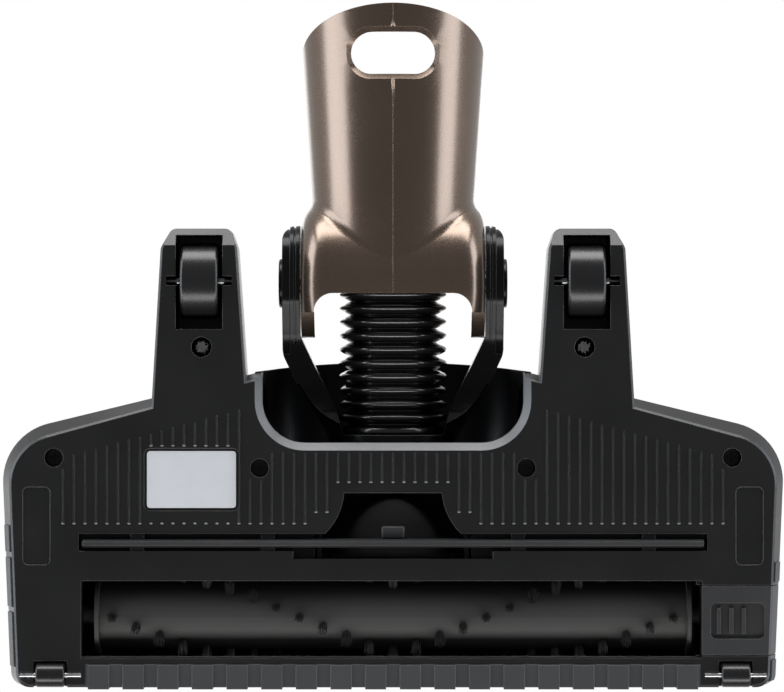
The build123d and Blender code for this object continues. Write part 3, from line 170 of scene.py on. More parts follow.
class NodeTree:
    """The shader nodes of one material or world."""

    def __init__(self, owner: Union[bpy.types.Material, bpy.types.World]) -> None:
        """Empty the owner's tree.

        Args:
            owner: The material or world.
        """
        owner.use_nodes = True
        self.tree = owner.node_tree
        self.tree.nodes.clear()

    def node(self, kind: str, settings: Optional[Dict[str, object]] = None,
             sockets: Optional[Dict[Key, object]] = None, output: Key = 0) -> Wire:
        """Add any node.

        Args:
            kind: The node's type.
            settings: Its properties.
            sockets: Values or wires of its inputs, by name or number.
            output: The output that is wanted.

        Returns:
            That output.
        """
        made = self.tree.nodes.new(kind)
        for name, value in (settings or {}).items():
            setattr(made, name, value)
        for key, value in (sockets or {}).items():
            if isinstance(value, Wire):
                self.tree.links.new(value.socket, made.inputs[key])
            else:
                made.inputs[key].default_value = value
        return Wire(self, made.outputs[output] if made.outputs else None)

    def place(self) -> Wire:
        """Object coordinates, in metres."""
        return self.node("ShaderNodeTexCoord", output="Object")

    def plain_normal(self) -> Wire:
        """The surface's normal as it is meshed."""
        return self.node("ShaderNodeNewGeometry", output="Normal")

    def coordinate(self, vector: Wire, axis: str) -> Wire:
        """One coordinate of a vector.

        Args:
            vector: The vector.
            axis: X, Y or Z.

        Returns:
            The coordinate.
        """
        return self.node("ShaderNodeSeparateXYZ", {}, {0: vector}, axis)

    def noise(self, size: float, detail: float = 2.0, where: Optional[Wire] = None) -> Wire:
        """Noise from 0 to 1.

        Args:
            size: Size of its patches in metres.
            detail: Octaves.
            where: Coordinates, the object's own if not given.

        Returns:
            The noise value.
        """
        sockets = {"Vector": where or self.place(), "Scale": 1.0 / size, "Detail": detail}
        return self.node("ShaderNodeTexNoise", {}, sockets, "Fac")

    def cells(self, size: float, where: Wire, output: str) -> Wire:
        """Voronoi cells.

        Args:
            size: Size of a cell in metres.
            where: Coordinates.
            output: Distance for the distance from a cell's point, Color for a draw of each cell.

        Returns:
            The value or colour.
        """
        return self.node("ShaderNodeTexVoronoi", {}, {"Vector": where, "Scale": 1.0 / size}, output)

    def channel(self, colour: Wire, name: str) -> Wire:
        """One channel of a colour.

        Args:
            colour: The colour.
            name: Red, Green or Blue.

        Returns:
            The channel.
        """
        return self.node("ShaderNodeSeparateColor", {}, {"Color": colour}, name)

    def mix(self, factor: Wire, first: Union[Colour, Wire], second: Union[Colour, Wire]) -> Wire:
        """Blend two colours.

        Args:
            factor: 0 for the first, 1 for the second.
            first: Colour at 0.
            second: Colour at 1.

        Returns:
            The blended colour.
        """
        ends = [value if isinstance(value, Wire) else (*value, 1.0) for value in (first, second)]
        return self.node("ShaderNodeMix", {"data_type": "RGBA"}, {0: factor, 6: ends[0], 7: ends[1]}, 2)

    def bevel(self, radius: float, samples: int) -> Wire:
        """Normal with the edges rounded off.

        Args:
            radius: Radius of the edges in metres.
            samples: Rays for each shading point.

        Returns:
            The normal.
        """
        return self.node("ShaderNodeBevel", {"samples": samples}, {"Radius": radius})

    def bump(self, height: Wire, depth: float, strength: float, normal: Optional[Wire] = None) -> Wire:
        """Normal of a finely uneven surface.

        Args:
            height: Height from 0 to 1.
            depth: Height of 1 in metres.
            strength: Share of the effect.
            normal: Normal of the smooth surface, the mesh's own if not given.

        Returns:
            The normal.
        """
        sockets = {"Strength": strength, "Distance": depth, "Height": height}
        if normal is not None:
            sockets["Normal"] = normal
        return self.node("ShaderNodeBump", {}, sockets)

    def principled(self, sockets: Dict[Key, object]) -> Wire:
        """Add the main surface shader.

        Args:
            sockets: Values or wires of its inputs.

        Returns:
            The shader.
        """
        return self.node("ShaderNodeBsdfPrincipled", {}, sockets)

    def mix_shader(self, factor: Wire, first: Wire, second: Wire) -> Wire:
        """Blend two shaders.

        Args:
            factor: 0 for the first, 1 for the second.
            first: Shader at 0.
            second: Shader at 1.

        Returns:
            The blended shader.
        """
        return self.node("ShaderNodeMixShader", {}, {0: factor, 1: first, 2: second})

    def surface(self, shader: Wire, kind: str = "ShaderNodeOutputMaterial") -> None:
        """Send a shader to the tree's output.

        Args:
            shader: The shader.
            kind: The output node's type.
        """
        self.node(kind, {}, {"Surface": shader})


@dataclass(frozen=True)
class Coating:
    """What every finish of the brush has: a name and a shader."""

    name: str

    def make(self) -> bpy.types.Material:
        """Make the material.

        Returns:
            The material.
        """
        material = bpy.data.materials.new(self.name)
        tree = NodeTree(material)
        tree.surface(self.shader(tree, tree.place()))
        return material

    def shader(self, tree: NodeTree, place: Wire) -> Wire:
        """Shader of the finish, which each kind of finish gives.

        Args:
            tree: The material's nodes.
            place: Object coordinates.

        Returns:
            The shader.
        """
        raise NotImplementedError


@dataclass(frozen=True)
class Moulding(Coating):
    """Moulded plastic or rubber with a fine texture, soft edges, handling sheen, dust and paler edges that
    are partly wear and partly painted highlight.
    """

    colour: Colour
    roughness: float
    grain: float = 0.45 * MM
    grain_depth: float = 0.02 * MM
    grain_sheen: float = 0.1
    grain_share: float = 0.45
    patch_size: float = 28 * MM
    sheen_patches: float = 0.12
    light_gain: float = 1.35
    light_lift: float = 0.002
    shade_gain: float = 0.8
    edge: float = 0.35 * MM
    edge_samples: int = 4
    wear_and_edge_highlight: float = 0.0
    dust: float = 0.0
    speck_cell: float = 9 * MM
    speck_size: float = 0.028
    coat: float = 0.0
    coat_roughness: float = 0.12
    specular: float = 0.5

    def shader(self, tree: NodeTree, place: Wire) -> Wire:
        """Shader of the moulding.

        Args:
            tree: The material's nodes.
            place: Object coordinates.

        Returns:
            The shader.
        """
        grain = tree.noise(self.grain, 3.0, place)
        patches = tree.noise(self.patch_size, 4.0, place)
        light = scaled(self.colour, self.light_gain, self.light_lift)
        shade = scaled(self.colour, self.shade_gain)
        tone = tree.mix(patches * (1.0 - self.grain_share) + grain * self.grain_share, shade, light)
        if self.dust > 0:
            tone = tree.mix(self._specks(tree, place), tone, DUST)
        sheen = (patches - 0.5) * self.sheen_patches + (grain - 0.5) * self.grain_sheen
        roughness = self._worked(self.roughness + sheen, tree, place)
        normal = self._softened(tree, place)
        # Edges turn paler: partly wear, partly painted highlight.
        if self.wear_and_edge_highlight > 0:
            tone = tree.mix(self._worn_and_highlit_edges(tree, normal, place), tone, EDGE_WEAR_AND_HIGHLIGHT)
        return tree.principled({
            "Base Color": tone,
            "Roughness": roughness,
            "Normal": tree.bump(grain, self.grain_depth, 1.0, normal),
            "Coat Weight": self.coat,
            "Coat Roughness": self.coat_roughness,
            "Specular IOR Level": self.specular,
        })

    def _softened(self, tree: NodeTree, place: Wire) -> Wire:
        """Normal with the edges rounded off.

        Args:
            tree: The material's nodes.
            place: Object coordinates.

        Returns:
            The normal.
        """
        return tree.bevel(self.edge, self.edge_samples)

    def _worked(self, roughness: Wire, tree: NodeTree, place: Wire) -> Wire:
        """Roughness after the moulding's own details, of which a plain one has none.

        Args:
            roughness: Roughness of the plain surface.
            tree: The material's nodes.
            place: Object coordinates.

        Returns:
            The roughness.
        """
        return roughness

    def _worn_and_highlit_edges(self, tree: NodeTree, rounded: Wire, place: Wire) -> Wire:
        """Edges made paler, partly by wear and partly as painted highlight.

        Args:
            tree: The material's nodes.
            rounded: The normal with its edges rounded off.
            place: Object coordinates.

        Returns:
            0 on flat faces, rising to 1 along edges.
        """
        sockets = {0: rounded, 1: tree.plain_normal()}
        likeness = tree.node("ShaderNodeVectorMath", {"operation": "DOT_PRODUCT"}, sockets, "Value")
        return ((1.0 - likeness) * self.wear_and_edge_highlight).at_most(1.0)

    def _specks(self, tree: NodeTree, place: Wire) -> Wire:
        """Sparse lint and dust specks.

        Args:
            tree: The material's nodes.
            place: Object coordinates.

        Returns:
            1 on a speck, else 0.
        """
        distance = tree.cells(self.speck_cell, place, "Distance")
        chance = tree.channel(tree.cells(self.speck_cell, place, "Color"), "Red")
        return (distance < self.speck_size) * (chance < self.dust)


@dataclass(frozen=True)
class SoleMoulding(Moulding):
    """Plastic of the sole, with duller glide ribs and a painted highlight on the rim round its recess."""

    rib_top: float = SOLE_Z - 0.05 * MM
    rib_roughness: float = 0.07
    rib_crispness: float = 0.93
    # The rim round the recess gets a painted highlight, strongest at its front and fading towards its rear.
    rim_half: float = 52.0 * MM
    rim_front: float = -39.5 * MM
    rim_rear: float = -5.0 * MM
    rim_top: float = 6.4 * MM
    rim_slope: Tuple[float, float] = (-0.85, -0.55)
    rim_highlight: float = 0.62
    rim_highlight_fade: float = 45.0

    def _softened(self, tree: NodeTree, place: Wire) -> Wire:
        """Normal with the edges rounded off, less so on the glide ribs.

        Args:
            tree: The material's nodes.
            place: Object coordinates.

        Returns:
            The normal.
        """
        rounded = super()._softened(tree, place)
        share = self._on_rib(tree, place) * self.rib_crispness
        sockets = {0: share, 4: rounded, 5: tree.plain_normal()}
        return tree.node("ShaderNodeMix", {"data_type": "VECTOR"}, sockets, 1)

    def _worked(self, roughness: Wire, tree: NodeTree, place: Wire) -> Wire:
        """Roughness with duller glide ribs.

        Args:
            roughness: Roughness of the plain surface.
            tree: The material's nodes.
            place: Object coordinates.

        Returns:
            The roughness.
        """
        return roughness + self._on_rib(tree, place) * self.rib_roughness

    def _on_rib(self, tree: NodeTree, place: Wire) -> Wire:
        """Where the glide ribs stand out below the sole.

        Args:
            tree: The material's nodes.
            place: Object coordinates.

        Returns:
            1 on a rib, else 0.
        """
        return tree.coordinate(place, "Z") < self.rib_top

    def _worn_and_highlit_edges(self, tree: NodeTree, rounded: Wire, place: Wire) -> Wire:
        """Paler edges, partly wear and partly painted highlight, with the ribs' long sides left dark and a
        painted highlight on the recess's rim added.

        Args:
            tree: The material's nodes.
            rounded: The normal with its edges rounded off.
            place: Object coordinates.

        Returns:
            0 on flat faces, rising to 1 where wear and painted highlight make the sole palest.
        """
        edges = super()._worn_and_highlit_edges(tree, rounded, place)
        across, along, height = (tree.coordinate(place, axis) for axis in "XYZ")
        facing = tree.node("ShaderNodeNewGeometry", output="True Normal")
        down = tree.coordinate(facing, "Z")
        steepest, flattest = self.rim_slope
        sloped = (down > steepest) * (down < flattest) * (height < self.rim_top)
        near = (across.size() < self.rim_half) * (along > self.rim_front) * (along < self.rim_rear)
        # Painted highlight on the recess's rim, fading towards its rear.
        painted_rim_highlight = ((self.rim_rear - along) * self.rim_highlight_fade).at_most(1.0) * self.rim_highlight
        return (edges * (1.0 - self._on_rib(tree, place)) + sloped * near * painted_rim_highlight).at_most(1.0)


@dataclass(frozen=True)
class MetallicPaint(Coating):
    """Metallic lacquer with fine flakes under a thin clear coat."""

    colour: Colour
    roughness: float
    flake_size: float = 0.22 * MM
    flake_depth: float = 0.004 * MM
    flake_bump: float = 0.12
    flake_share: float = 0.6
    flake_sheen: float = 0.05
    cloud_size: float = 30 * MM
    cloud_sheen: float = 0.1
    light_gain: float = 1.14
    shade_gain: float = 0.88
    edge: float = 0.12 * MM
    edge_samples: int = 8
    metallic: float = 0.85
    coat: float = 0.5
    coat_roughness: float = 0.2

    def shader(self, tree: NodeTree, place: Wire) -> Wire:
        """Shader of the lacquer.

        Args:
            tree: The material's nodes.
            place: Object coordinates.

        Returns:
            The shader.
        """
        sparkle = tree.channel(tree.cells(self.flake_size, place, "Color"), "Green")
        cloud = tree.noise(self.cloud_size, 4.0, place)
        light = scaled(self.colour, self.light_gain)
        shade = scaled(self.colour, self.shade_gain)
        depth = sparkle * self.flake_share + cloud * (1.0 - self.flake_share)
        sheen = (cloud - 0.5) * self.cloud_sheen + (sparkle - 0.5) * self.flake_sheen
        normal = tree.bevel(self.edge, self.edge_samples)
        return tree.principled({
            "Base Color": tree.mix(depth, shade, light),
            "Roughness": self.roughness + sheen,
            "Normal": tree.bump(sparkle, self.flake_depth, self.flake_bump, normal),
            "Metallic": self.metallic,
            "Coat Weight": self.coat,
            "Coat Roughness": self.coat_roughness,
        })


@dataclass(frozen=True)
class TurnedMetal(Coating):
    """Plated or turned metal with fine scratches."""

    colour: Colour
    roughness: float
    scratch_size: float = 0.25 * MM
    scratch_stretch: Tuple[float, float, float] = (4.0, 1.0, 1.0)
    scratch_depth: float = 0.01 * MM
    scratch_bump: float = 0.3
    scratch_sheen: float = 0.2
    stain_size: float = 3 * MM
    stain_gain: float = 0.75

    def shader(self, tree: NodeTree, place: Wire) -> Wire:
        """Shader of the metal.

        Args:
            tree: The material's nodes.
            place: Object coordinates.

        Returns:
            The shader.
        """
        stretched = tree.node("ShaderNodeMapping", {}, {"Vector": place, "Scale": self.scratch_stretch})
        scratches = tree.noise(self.scratch_size, 4.0, stretched)
        stains = tree.noise(self.stain_size, 3.0, place)
        clean = tree.mix(stains, scaled(self.colour, self.stain_gain), self.colour)
        return tree.principled({
            "Base Color": self._shaded(clean, tree, place),
            "Roughness": self.roughness + (scratches - 0.5) * self.scratch_sheen,
            "Normal": tree.bump(scratches, self.scratch_depth, self.scratch_bump),
            "Metallic": 1.0,
        })

    def _shaded(self, tone: Wire, tree: NodeTree, place: Wire) -> Wire:
        """Colour after painted shade, of which a plain piece has none.

        Args:
            tone: Colour of the clean metal.
            tree: The material's nodes.
            place: Object coordinates.

        Returns:
            The colour.
        """
        return tone


@dataclass(frozen=True)
class ArmScrewSteel(TurnedMetal):
    """Steel of the two arm screws, with its own colour round the cross and painted shade towards the
    recess's wall.
    """

    head_r: float = (ARM_SCREWS_HIGH.y - ARM_SCREWS_LOW.y) / 2
    axis_y: float = (ARM_SCREWS_HIGH.y + ARM_SCREWS_LOW.y) / 2
    # Painted shade covers the head outside a ragged circle round the cross, standing in for the shade of its
    # recess.
    unshaded_r: float = 1.9 * MM
    shade_patch: float = 0.8 * MM
    shade_ragged_depth: float = 4.0 * MM
    painted_shade: Colour = (0.006, 0.006, 0.006)

    def _shaded(self, tone: Wire, tree: NodeTree, place: Wire) -> Wire:
        """Colour with painted shade near the recess's wall.

        Args:
            tone: Colour of the clean metal.
            tree: The material's nodes.
            place: Object coordinates.

        Returns:
            The colour.
        """
        beside = tree.coordinate(place, "X").size() - (ARM_SCREWS_HIGH.x - self.head_r)
        behind = tree.coordinate(place, "Y") - self.axis_y
        radius = (beside * beside + behind * behind).root()
        ragged = radius + (tree.noise(self.shade_patch, 2.0, place) - 0.5) * self.shade_ragged_depth
        return tree.mix(ragged > self.unshaded_r, tone, self.painted_shade)


@dataclass(frozen=True)
class LabelFilm(Coating):
    """White film of the blank label, slightly soiled in patches."""

    clean: Colour = (0.62, 0.63, 0.655)
    soiled: Colour = (0.52, 0.53, 0.55)
    roughness: float = 0.38
    smudge_size: float = 6 * MM
    smudge_share: float = 0.7
    smudge_sheen: float = 0.15
    fibre_size: float = 0.3 * MM
    fibre_depth: float = 0.01 * MM
    fibre_bump: float = 0.2

    def shader(self, tree: NodeTree, place: Wire) -> Wire:
        """Shader of the film.

        Args:
            tree: The material's nodes.
            place: Object coordinates.

        Returns:
            The shader.
        """
        smudge = tree.noise(self.smudge_size, 4.0, place)
        fibre = tree.noise(self.fibre_size, 3.0, place)
        soil = smudge * self.smudge_share + fibre * (1.0 - self.smudge_share)
        return tree.principled({
            "Base Color": tree.mix(soil, self.clean, self.soiled),
            "Roughness": self.roughness + smudge * self.smudge_sheen,
            "Normal": tree.bump(fibre, self.fibre_depth, self.fibre_bump),
        })


class Finish(Enum):
    """The finishes of the brush, named for what they are on."""

    SOLE = SoleMoulding("sole_plastic", (0.0055, 0.0055, 0.0058), 0.36, wear_and_edge_highlight=1.3, dust=0.05)
    # Pale colour of the glide rib tips: a painted highlight on the domes.
    TIPS = Moulding("tip_plastic_painted_highlight", (0.16, 0.16, 0.163), 0.3, edge=0.0)
    COVER = Moulding("cover_plastic", (0.008, 0.008, 0.0084), 0.32, grain=0.3 * MM, wear_and_edge_highlight=0.8)
    BUMPER = Moulding("bumper_rubber", (0.034, 0.035, 0.0365), 0.5, grain=0.6 * MM, edge=0.5 * MM, wear_and_edge_highlight=1.0)
    BLADE = Moulding("blade_rubber", (0.026, 0.026, 0.0265), 0.42, wear_and_edge_highlight=0.8, dust=0.15)
    LABEL = LabelFilm("label_film")
    STEEL = TurnedMetal("plated_steel", (0.62, 0.62, 0.63), 0.32)
    BLACK_STEEL = TurnedMetal("blackened_steel", (0.05, 0.05, 0.052), 0.42)
    SCREW_STEEL = ArmScrewSteel("screw_steel", (0.68, 0.68, 0.69), 0.34)
    MOTOR = TurnedMetal("motor_can", (0.45, 0.45, 0.46), 0.45)
    BRASS = TurnedMetal("contact_brass", (0.7, 0.5, 0.24), 0.3)
    BELT = Moulding("belt_rubber", (0.018, 0.018, 0.018), 0.7)
    BUSH = Moulding("bush_plastic", (0.03, 0.03, 0.03), 0.4)
    BOARD = Moulding("board_resin", (0.02, 0.1, 0.04), 0.45)
    ROLL = Moulding("roll_plastic", (0.03, 0.0295, 0.0275), 0.65, dust=0.08)
    BRISTLE = Moulding("bristle_nylon", (0.012, 0.012, 0.0125), 0.4, edge=0.0)
    WHEEL = Moulding("wheel_plastic", (0.009, 0.009, 0.0094), 0.28, grain_depth=0.005 * MM, wear_and_edge_highlight=0.6,
                     dust=0.1)
    DOOR = Moulding("door_plastic", (0.026, 0.026, 0.0268), 0.42, wear_and_edge_highlight=0.8)
    YOKE = Moulding("yoke_plastic", (0.0045, 0.0045, 0.0048), 0.24, edge=0.5 * MM, wear_and_edge_highlight=1.6, specular=0.22)
    HOSE = Moulding("hose_plastic", (0.006, 0.006, 0.0064), 0.2, grain_depth=0.004 * MM, sheen_patches=0.08,
                    coat=0.4, specular=0.9)
    NECK = MetallicPaint("neck_bronze", (0.178, 0.128, 0.097), 0.25)


class Palette:
    """Makes each finish once and puts it on pieces."""

    def __init__(self) -> None:
        """Start with no finish made."""
        self._made: Dict[Finish, bpy.types.Material] = {}

    def get(self, finish: Finish) -> bpy.types.Material:
        """Make a finish or give the one made before.

        Args:
            finish: The finish.

        Returns:
            Its material.
        """
        if finish not in self._made:
            self._made[finish] = finish.value.make()
        return self._made[finish]

    def dress(self, piece: bpy.types.Object, finish: Finish) -> None:
        """Put a finish on a piece.

        Args:
            piece: A new piece or a CAD node's object.
            finish: The finish.
        """
        material = self.get(finish)
        if piece.material_slots:
            for slot in piece.material_slots:
                slot.material = material
        else:
            piece.data.materials.append(material)


SIDES = ("right", "left")
SINGLE_NODES: Dict[Finish, Tuple[str, ...]] = {
    Finish.SOLE: ("sole_plate", "roll_tunnel", "suction_duct"),
    Finish.DOOR: ("roll_door",),
    Finish.COVER: ("top_cover",),
    Finish.BUMPER: ("front_bumper",),
    Finish.BLADE: ("wiper_blade",),
    Finish.LABEL: ("blank_label",),
    Finish.BLACK_STEEL: ("sole_screws",),
    Finish.SCREW_STEEL: ("arm_screws",),
    Finish.MOTOR: ("motor",),
    Finish.BELT: ("drive_belt",),
    Finish.BUSH: ("drive_bearing", "door_bush", "swivel_ring", "roll_pulley", "hose_collar"),
    Finish.BRASS: ("motor_pulley", "power_contacts"),
    Finish.BOARD: ("control_board",),
    Finish.ROLL: ("brush_core",),
    Finish.BRISTLE: ("bristle_tufts",),
    Finish.YOKE: ("yoke",),
    Finish.HOSE: ("hose",),
    Finish.NECK: ("neck_tube",),
}
PAIRED_NODES: Dict[Finish, Tuple[str, ...]] = {
    Finish.BUMPER: ("side_bumper",),
    Finish.STEEL: ("rear_axle", "roller_axle", "hinge_pin"),
    Finish.WHEEL: ("rear_wheel", "front_roller"),
    Finish.YOKE: ("pivot_cap",),
}


class Shell:
    """The CAD pieces, which keep their shape and get their finishes."""

    @staticmethod
    def finishes() -> Dict[str, Finish]:
        """Finish of each node.

        Returns:
            The finishes by the nodes' names.
        """
        chosen = {name: finish for finish, names in SINGLE_NODES.items() for name in names}
        for finish, names in PAIRED_NODES.items():
            chosen.update({f"{name}_{side}": finish for name in names for side in SIDES})
        return chosen

    def dress(self, palette: Palette) -> None:
        """Put each node's finish on it.

        Args:
            palette: The finishes.
        """
        chosen = self.finishes()
        for name, node in frame["nodes"].items():
            palette.dress(node, chosen[name])


def add_piece(name: str, mesh: bmesh.types.BMesh, smooth: bool = True) -> bpy.types.Object:
    """Turn a bmesh into an object at the origin.

    Args:
        name: The piece's name.
        mesh: Its shape, in place, in metres. It is freed.
        smooth: Whether its faces are shaded smooth.

    Returns:
        The object.
    """
    bmesh.ops.recalc_face_normals(mesh, faces=mesh.faces[:])
    for face in mesh.faces:
        face.smooth = smooth
    data = bpy.data.meshes.new(name)
    mesh.to_mesh(data)
    mesh.free()
    piece = bpy.data.objects.new(name, data)
    bpy.context.scene.collection.objects.link(piece)
    return piece


@dataclass
class Hose:
    """Corrugated hose between the swivel spigot and the neck."""

    start_y: float = HOSE_LOW.y
    cuff: float = 3.0 * MM
    cuff_slope: float = 1.2 * MM
    lead: float = 0.5 * MM
    tail_slope: float = 1.0 * MM
    ribs: int = 15
    pitch: float = 5.1 * MM
    crest: float = (HOSE_HIGH.x - HOSE_LOW.x) / 2
    root: float = 15.9 * MM
    wall: float = 1.1 * MM
    fullness: float = 0.42
    first_phase: float = 0.125
    axis_z: float = TILT_AXIS.z
    pivot_y: float = TILT_AXIS.y
    bend_half: float = 26.0 * MM
    steps_per_rib: int = 14
    steps_round: int = 72
    weld: float = 0.001 * MM

    def profile(self) -> List[Tuple[float, float]]:
        """Outer line of the bellows.

        Returns:
            Points as distance along Y and radius.
        """
        ribs_start = self.start_y + self.cuff + self.lead
        cuff_r = self.crest - self.wall
        points = [(self.start_y, cuff_r), (ribs_start - self.cuff_slope, cuff_r)]
        depth = self.crest - self.root
        for step in range(self.ribs * self.steps_per_rib + 1):
            share = step / self.steps_per_rib
            wave = 0.5 - 0.5 * math.cos(2 * math.pi * (share - self.first_phase))
            points.append((ribs_start + share * self.pitch, self.root + depth * wave ** self.fullness))
        end = points[-1][0]
        points.append((end + self.tail_slope, self.root))
        points.append((end + self.cuff - self.lead, self.root))
        return points

    def build(self, palette: Palette) -> bpy.types.Object:
        """Spin the bellows and put it in place of the CAD hose.

        Args:
            palette: The finishes.

        Returns:
            The hose.
        """
        mesh = bmesh.new()
        points = self.profile()
        first_y, first_r = points[0]
        last = mesh.verts.new((0.0, first_y, self.axis_z - first_r))
        for along, radius in points[1:]:
            made = bmesh.ops.extrude_vert_indiv(mesh, verts=[last])
            last = made["verts"][0]
            last.co = Vector((0.0, along, self.axis_z - radius))
        bmesh.ops.spin(mesh, geom=mesh.verts[:] + mesh.edges[:], cent=(0.0, 0.0, self.axis_z),
                       axis=(0.0, 1.0, 0.0), dvec=(0.0, 0.0, 0.0), angle=2 * math.pi, steps=self.steps_round,
                       use_merge=True, use_normal_flip=False, use_duplicate=False)
        bmesh.ops.remove_doubles(mesh, verts=mesh.verts[:], dist=self.weld)
        bmesh.ops.recalc_face_normals(mesh, faces=mesh.faces[:])
        bmesh.ops.solidify(mesh, geom=mesh.faces[:], thickness=self.wall)
        piece = add_piece("hose_bellows", mesh)
        palette.dress(piece, Finish.HOSE)
        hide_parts("hose")
        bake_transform(piece)
        return piece


@dataclass
class BristleRows:
    """Bristle tufts of the roll, as bundles of filaments."""

    core_r: float = 12.5 * MM
    tip_r: float = (TUFTS_HIGH.z - TUFTS_LOW.z) / 2 - 0.05 * MM
    sink: float = 1.0 * MM
    rows: int = 3
    tufts_each_side: int = 12
    pitch: float = 8.6 * MM
    turn: float = 15.0
    bundle_r: float = 1.5 * MM
    spread: float = 1.35
    shorter: float = 0.7 * MM
    stray: float = 0.3 * MM
    filaments: int = 30
    filament_r: float = 0.14 * MM
    taper: float = 0.7
    seed: int = 5

    def tuft(self, draw: random.Random) -> bmesh.types.BMesh:
        """One bundle, standing on the core along +Z, about the roll's axis.

        Args:
            draw: Source of the filaments' small differences.

        Returns:
            Its mesh.
        """
        mesh = bmesh.new()
        root = self.core_r - self.sink
        golden = math.pi * (3 - math.sqrt(5))
        for index in range(self.filaments):
            reach = self.bundle_r * math.sqrt((index + 0.5) / self.filaments)
            angle = index * golden
            foot = Vector((reach * math.cos(angle), reach * math.sin(angle), root))
            tip_z = self.tip_r - draw.uniform(0.0, self.shorter)
            tip_x = foot.x * self.spread + draw.uniform(-self.stray, self.stray)
            tip_y = foot.y * self.spread + draw.uniform(-self.stray, self.stray)
            tip = Vector((tip_x, tip_y, tip_z))
            lean = tip - foot
            turn = lean.to_track_quat("Z", "Y").to_matrix().to_4x4()
            bmesh.ops.create_cone(mesh, cap_ends=True, segments=4, radius1=self.filament_r,
                                  radius2=self.filament_r * self.taper, depth=lean.length,
                                  matrix=Matrix.Translation((foot + tip) / 2) @ turn)
        return mesh

    def build(self, palette: Palette) -> bpy.types.Object:
        """Set the tufts in their rows.

        Args:
            palette: The finishes.

        Returns:
            The bristles.
        """
        draw = random.Random(self.seed)
        whole = bmesh.new()
        for row in range(self.rows):
            for step in range(-self.tufts_each_side, self.tufts_each_side + 1):
                angle = math.radians(row * 360 / self.rows + abs(step) * self.turn)
                place = Matrix.Translation((step * self.pitch, ROLL_AXIS.y, ROLL_AXIS.z))
                turned = place @ Matrix.Rotation(angle, 4, "X")
                tuft = self.tuft(draw)
                bmesh.ops.transform(tuft, verts=tuft.verts[:], matrix=turned)
                data = bpy.data.meshes.new("tuft")
                tuft.to_mesh(data)
                tuft.free()
                whole.from_mesh(data)
                bpy.data.meshes.remove(data)
        piece = add_piece("bristle_filaments", whole, smooth=False)
        palette.dress(piece, Finish.BRISTLE)
        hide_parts("bristle_tufts")
        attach(piece, "roll")
        return piece


@dataclass
class RibTips:
    """Small domes at the front ends of the sole's glide ribs."""

    pitch: float = 4.04 * MM
    ribs_each_side: int = 30
    half_width: float = 0.6 * MM
    half_length: float = 0.38 * MM
    height: float = 0.45 * MM
    front_y: float = BLADE_REAR_Y + 5.7 * MM
    mouth_step: float = 15.2 * MM
    mouth_half: float = 22.0 * MM
    shoulder_step: float = 4.2 * MM
    shoulder_half: float = 29.0 * MM
    label_gap: float = 2.0 * MM
    label_margin: float = 1.0 * MM

    def places(self) -> List[Tuple[float, float]]:
        """Where ribs end towards the front.

        Returns:
            Places across and along the sole.
        """
        ends = []
        for step in range(-self.ribs_each_side, self.ribs_each_side + 1):
            across = step * self.pitch
            along = self.front_y
            if abs(across) < self.mouth_half:
                along += self.mouth_step
            elif abs(across) < self.shoulder_half:
                along += self.shoulder_step
            ends.append((across, along))
            if LABEL_LOW.x - self.label_margin < across < LABEL_HIGH.x + self.label_margin:
                ends.append((across, LABEL_HIGH.y + self.label_gap))
        return ends

    def build(self, palette: Palette) -> bpy.types.Object:
        """Set the domes on the sole.

        Args:
            palette: The finishes.

        Returns:
            The domes.
        """
        mesh = bmesh.new()
        form = Matrix.Diagonal((self.half_width, self.half_length, self.height, 1.0))
        for across, along in self.places():
            bmesh.ops.create_uvsphere(mesh, u_segments=12, v_segments=8, radius=1.0,
                                      matrix=Matrix.Translation((across, along, SOLE_Z)) @ form)
        piece = add_piece("glide_rib_tips", mesh)
        palette.dress(piece, Finish.TIPS)
        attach(piece, "head")
        return piece


@dataclass
class BladeClip:
    """Tab in the middle of the suction mouth that hooks the wiper blade."""

    width: float = 8.6 * MM
    length: float = 4.7 * MM
    height: float = 3.0 * MM
    rise: float = 0.9 * MM
    edge: float = 0.9 * MM

    def build(self, palette: Palette) -> bpy.types.Object:
        """Make the tab against the blade's rear face.

        Args:
            palette: The finishes.

        Returns:
            The tab.
        """
        mesh = bmesh.new()
        size = Matrix.Diagonal((self.width, self.length, self.height, 1.0))
        middle_y = BLADE_REAR_Y + self.length / 2
        middle_z = SOLE_Z + self.rise + self.height / 2
        middle = Matrix.Translation((0.0, middle_y, middle_z))
        bmesh.ops.create_cube(mesh, size=1.0, matrix=middle @ size)
        bmesh.ops.bevel(mesh, geom=mesh.edges[:], offset=self.edge, segments=3, profile=0.5, affect="EDGES")
        piece = add_piece("blade_clip", mesh)
        palette.dress(piece, Finish.BLADE)
        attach(piece, "head")
        return piece


@dataclass(frozen=True)
class Softbox:
    """A rectangular studio light that faces a point of the object."""

    name: str
    place: Tuple[float, float, float]
    width: float
    height: float
    radiance: float
    colour: Colour = (1.0, 1.0, 1.0)
    target: Tuple[float, float, float] = (0.0, 0.0, 0.03)

    def build(self) -> None:
        """Hang the light."""
        data = bpy.data.lights.new(self.name, "AREA")
        data.shape = "RECTANGLE"
        data.size = self.width
        data.size_y = self.height
        data.energy = self.radiance * math.pi * self.width * self.height
        data.color = self.colour
        light = bpy.data.objects.new(self.name, data)
        light.location = self.place
        aim = Vector(self.target) - Vector(self.place)
        light.rotation_euler = aim.to_track_quat("-Z", "Y").to_euler()
        light.visible_camera = False
        bpy.context.scene.collection.objects.link(light)


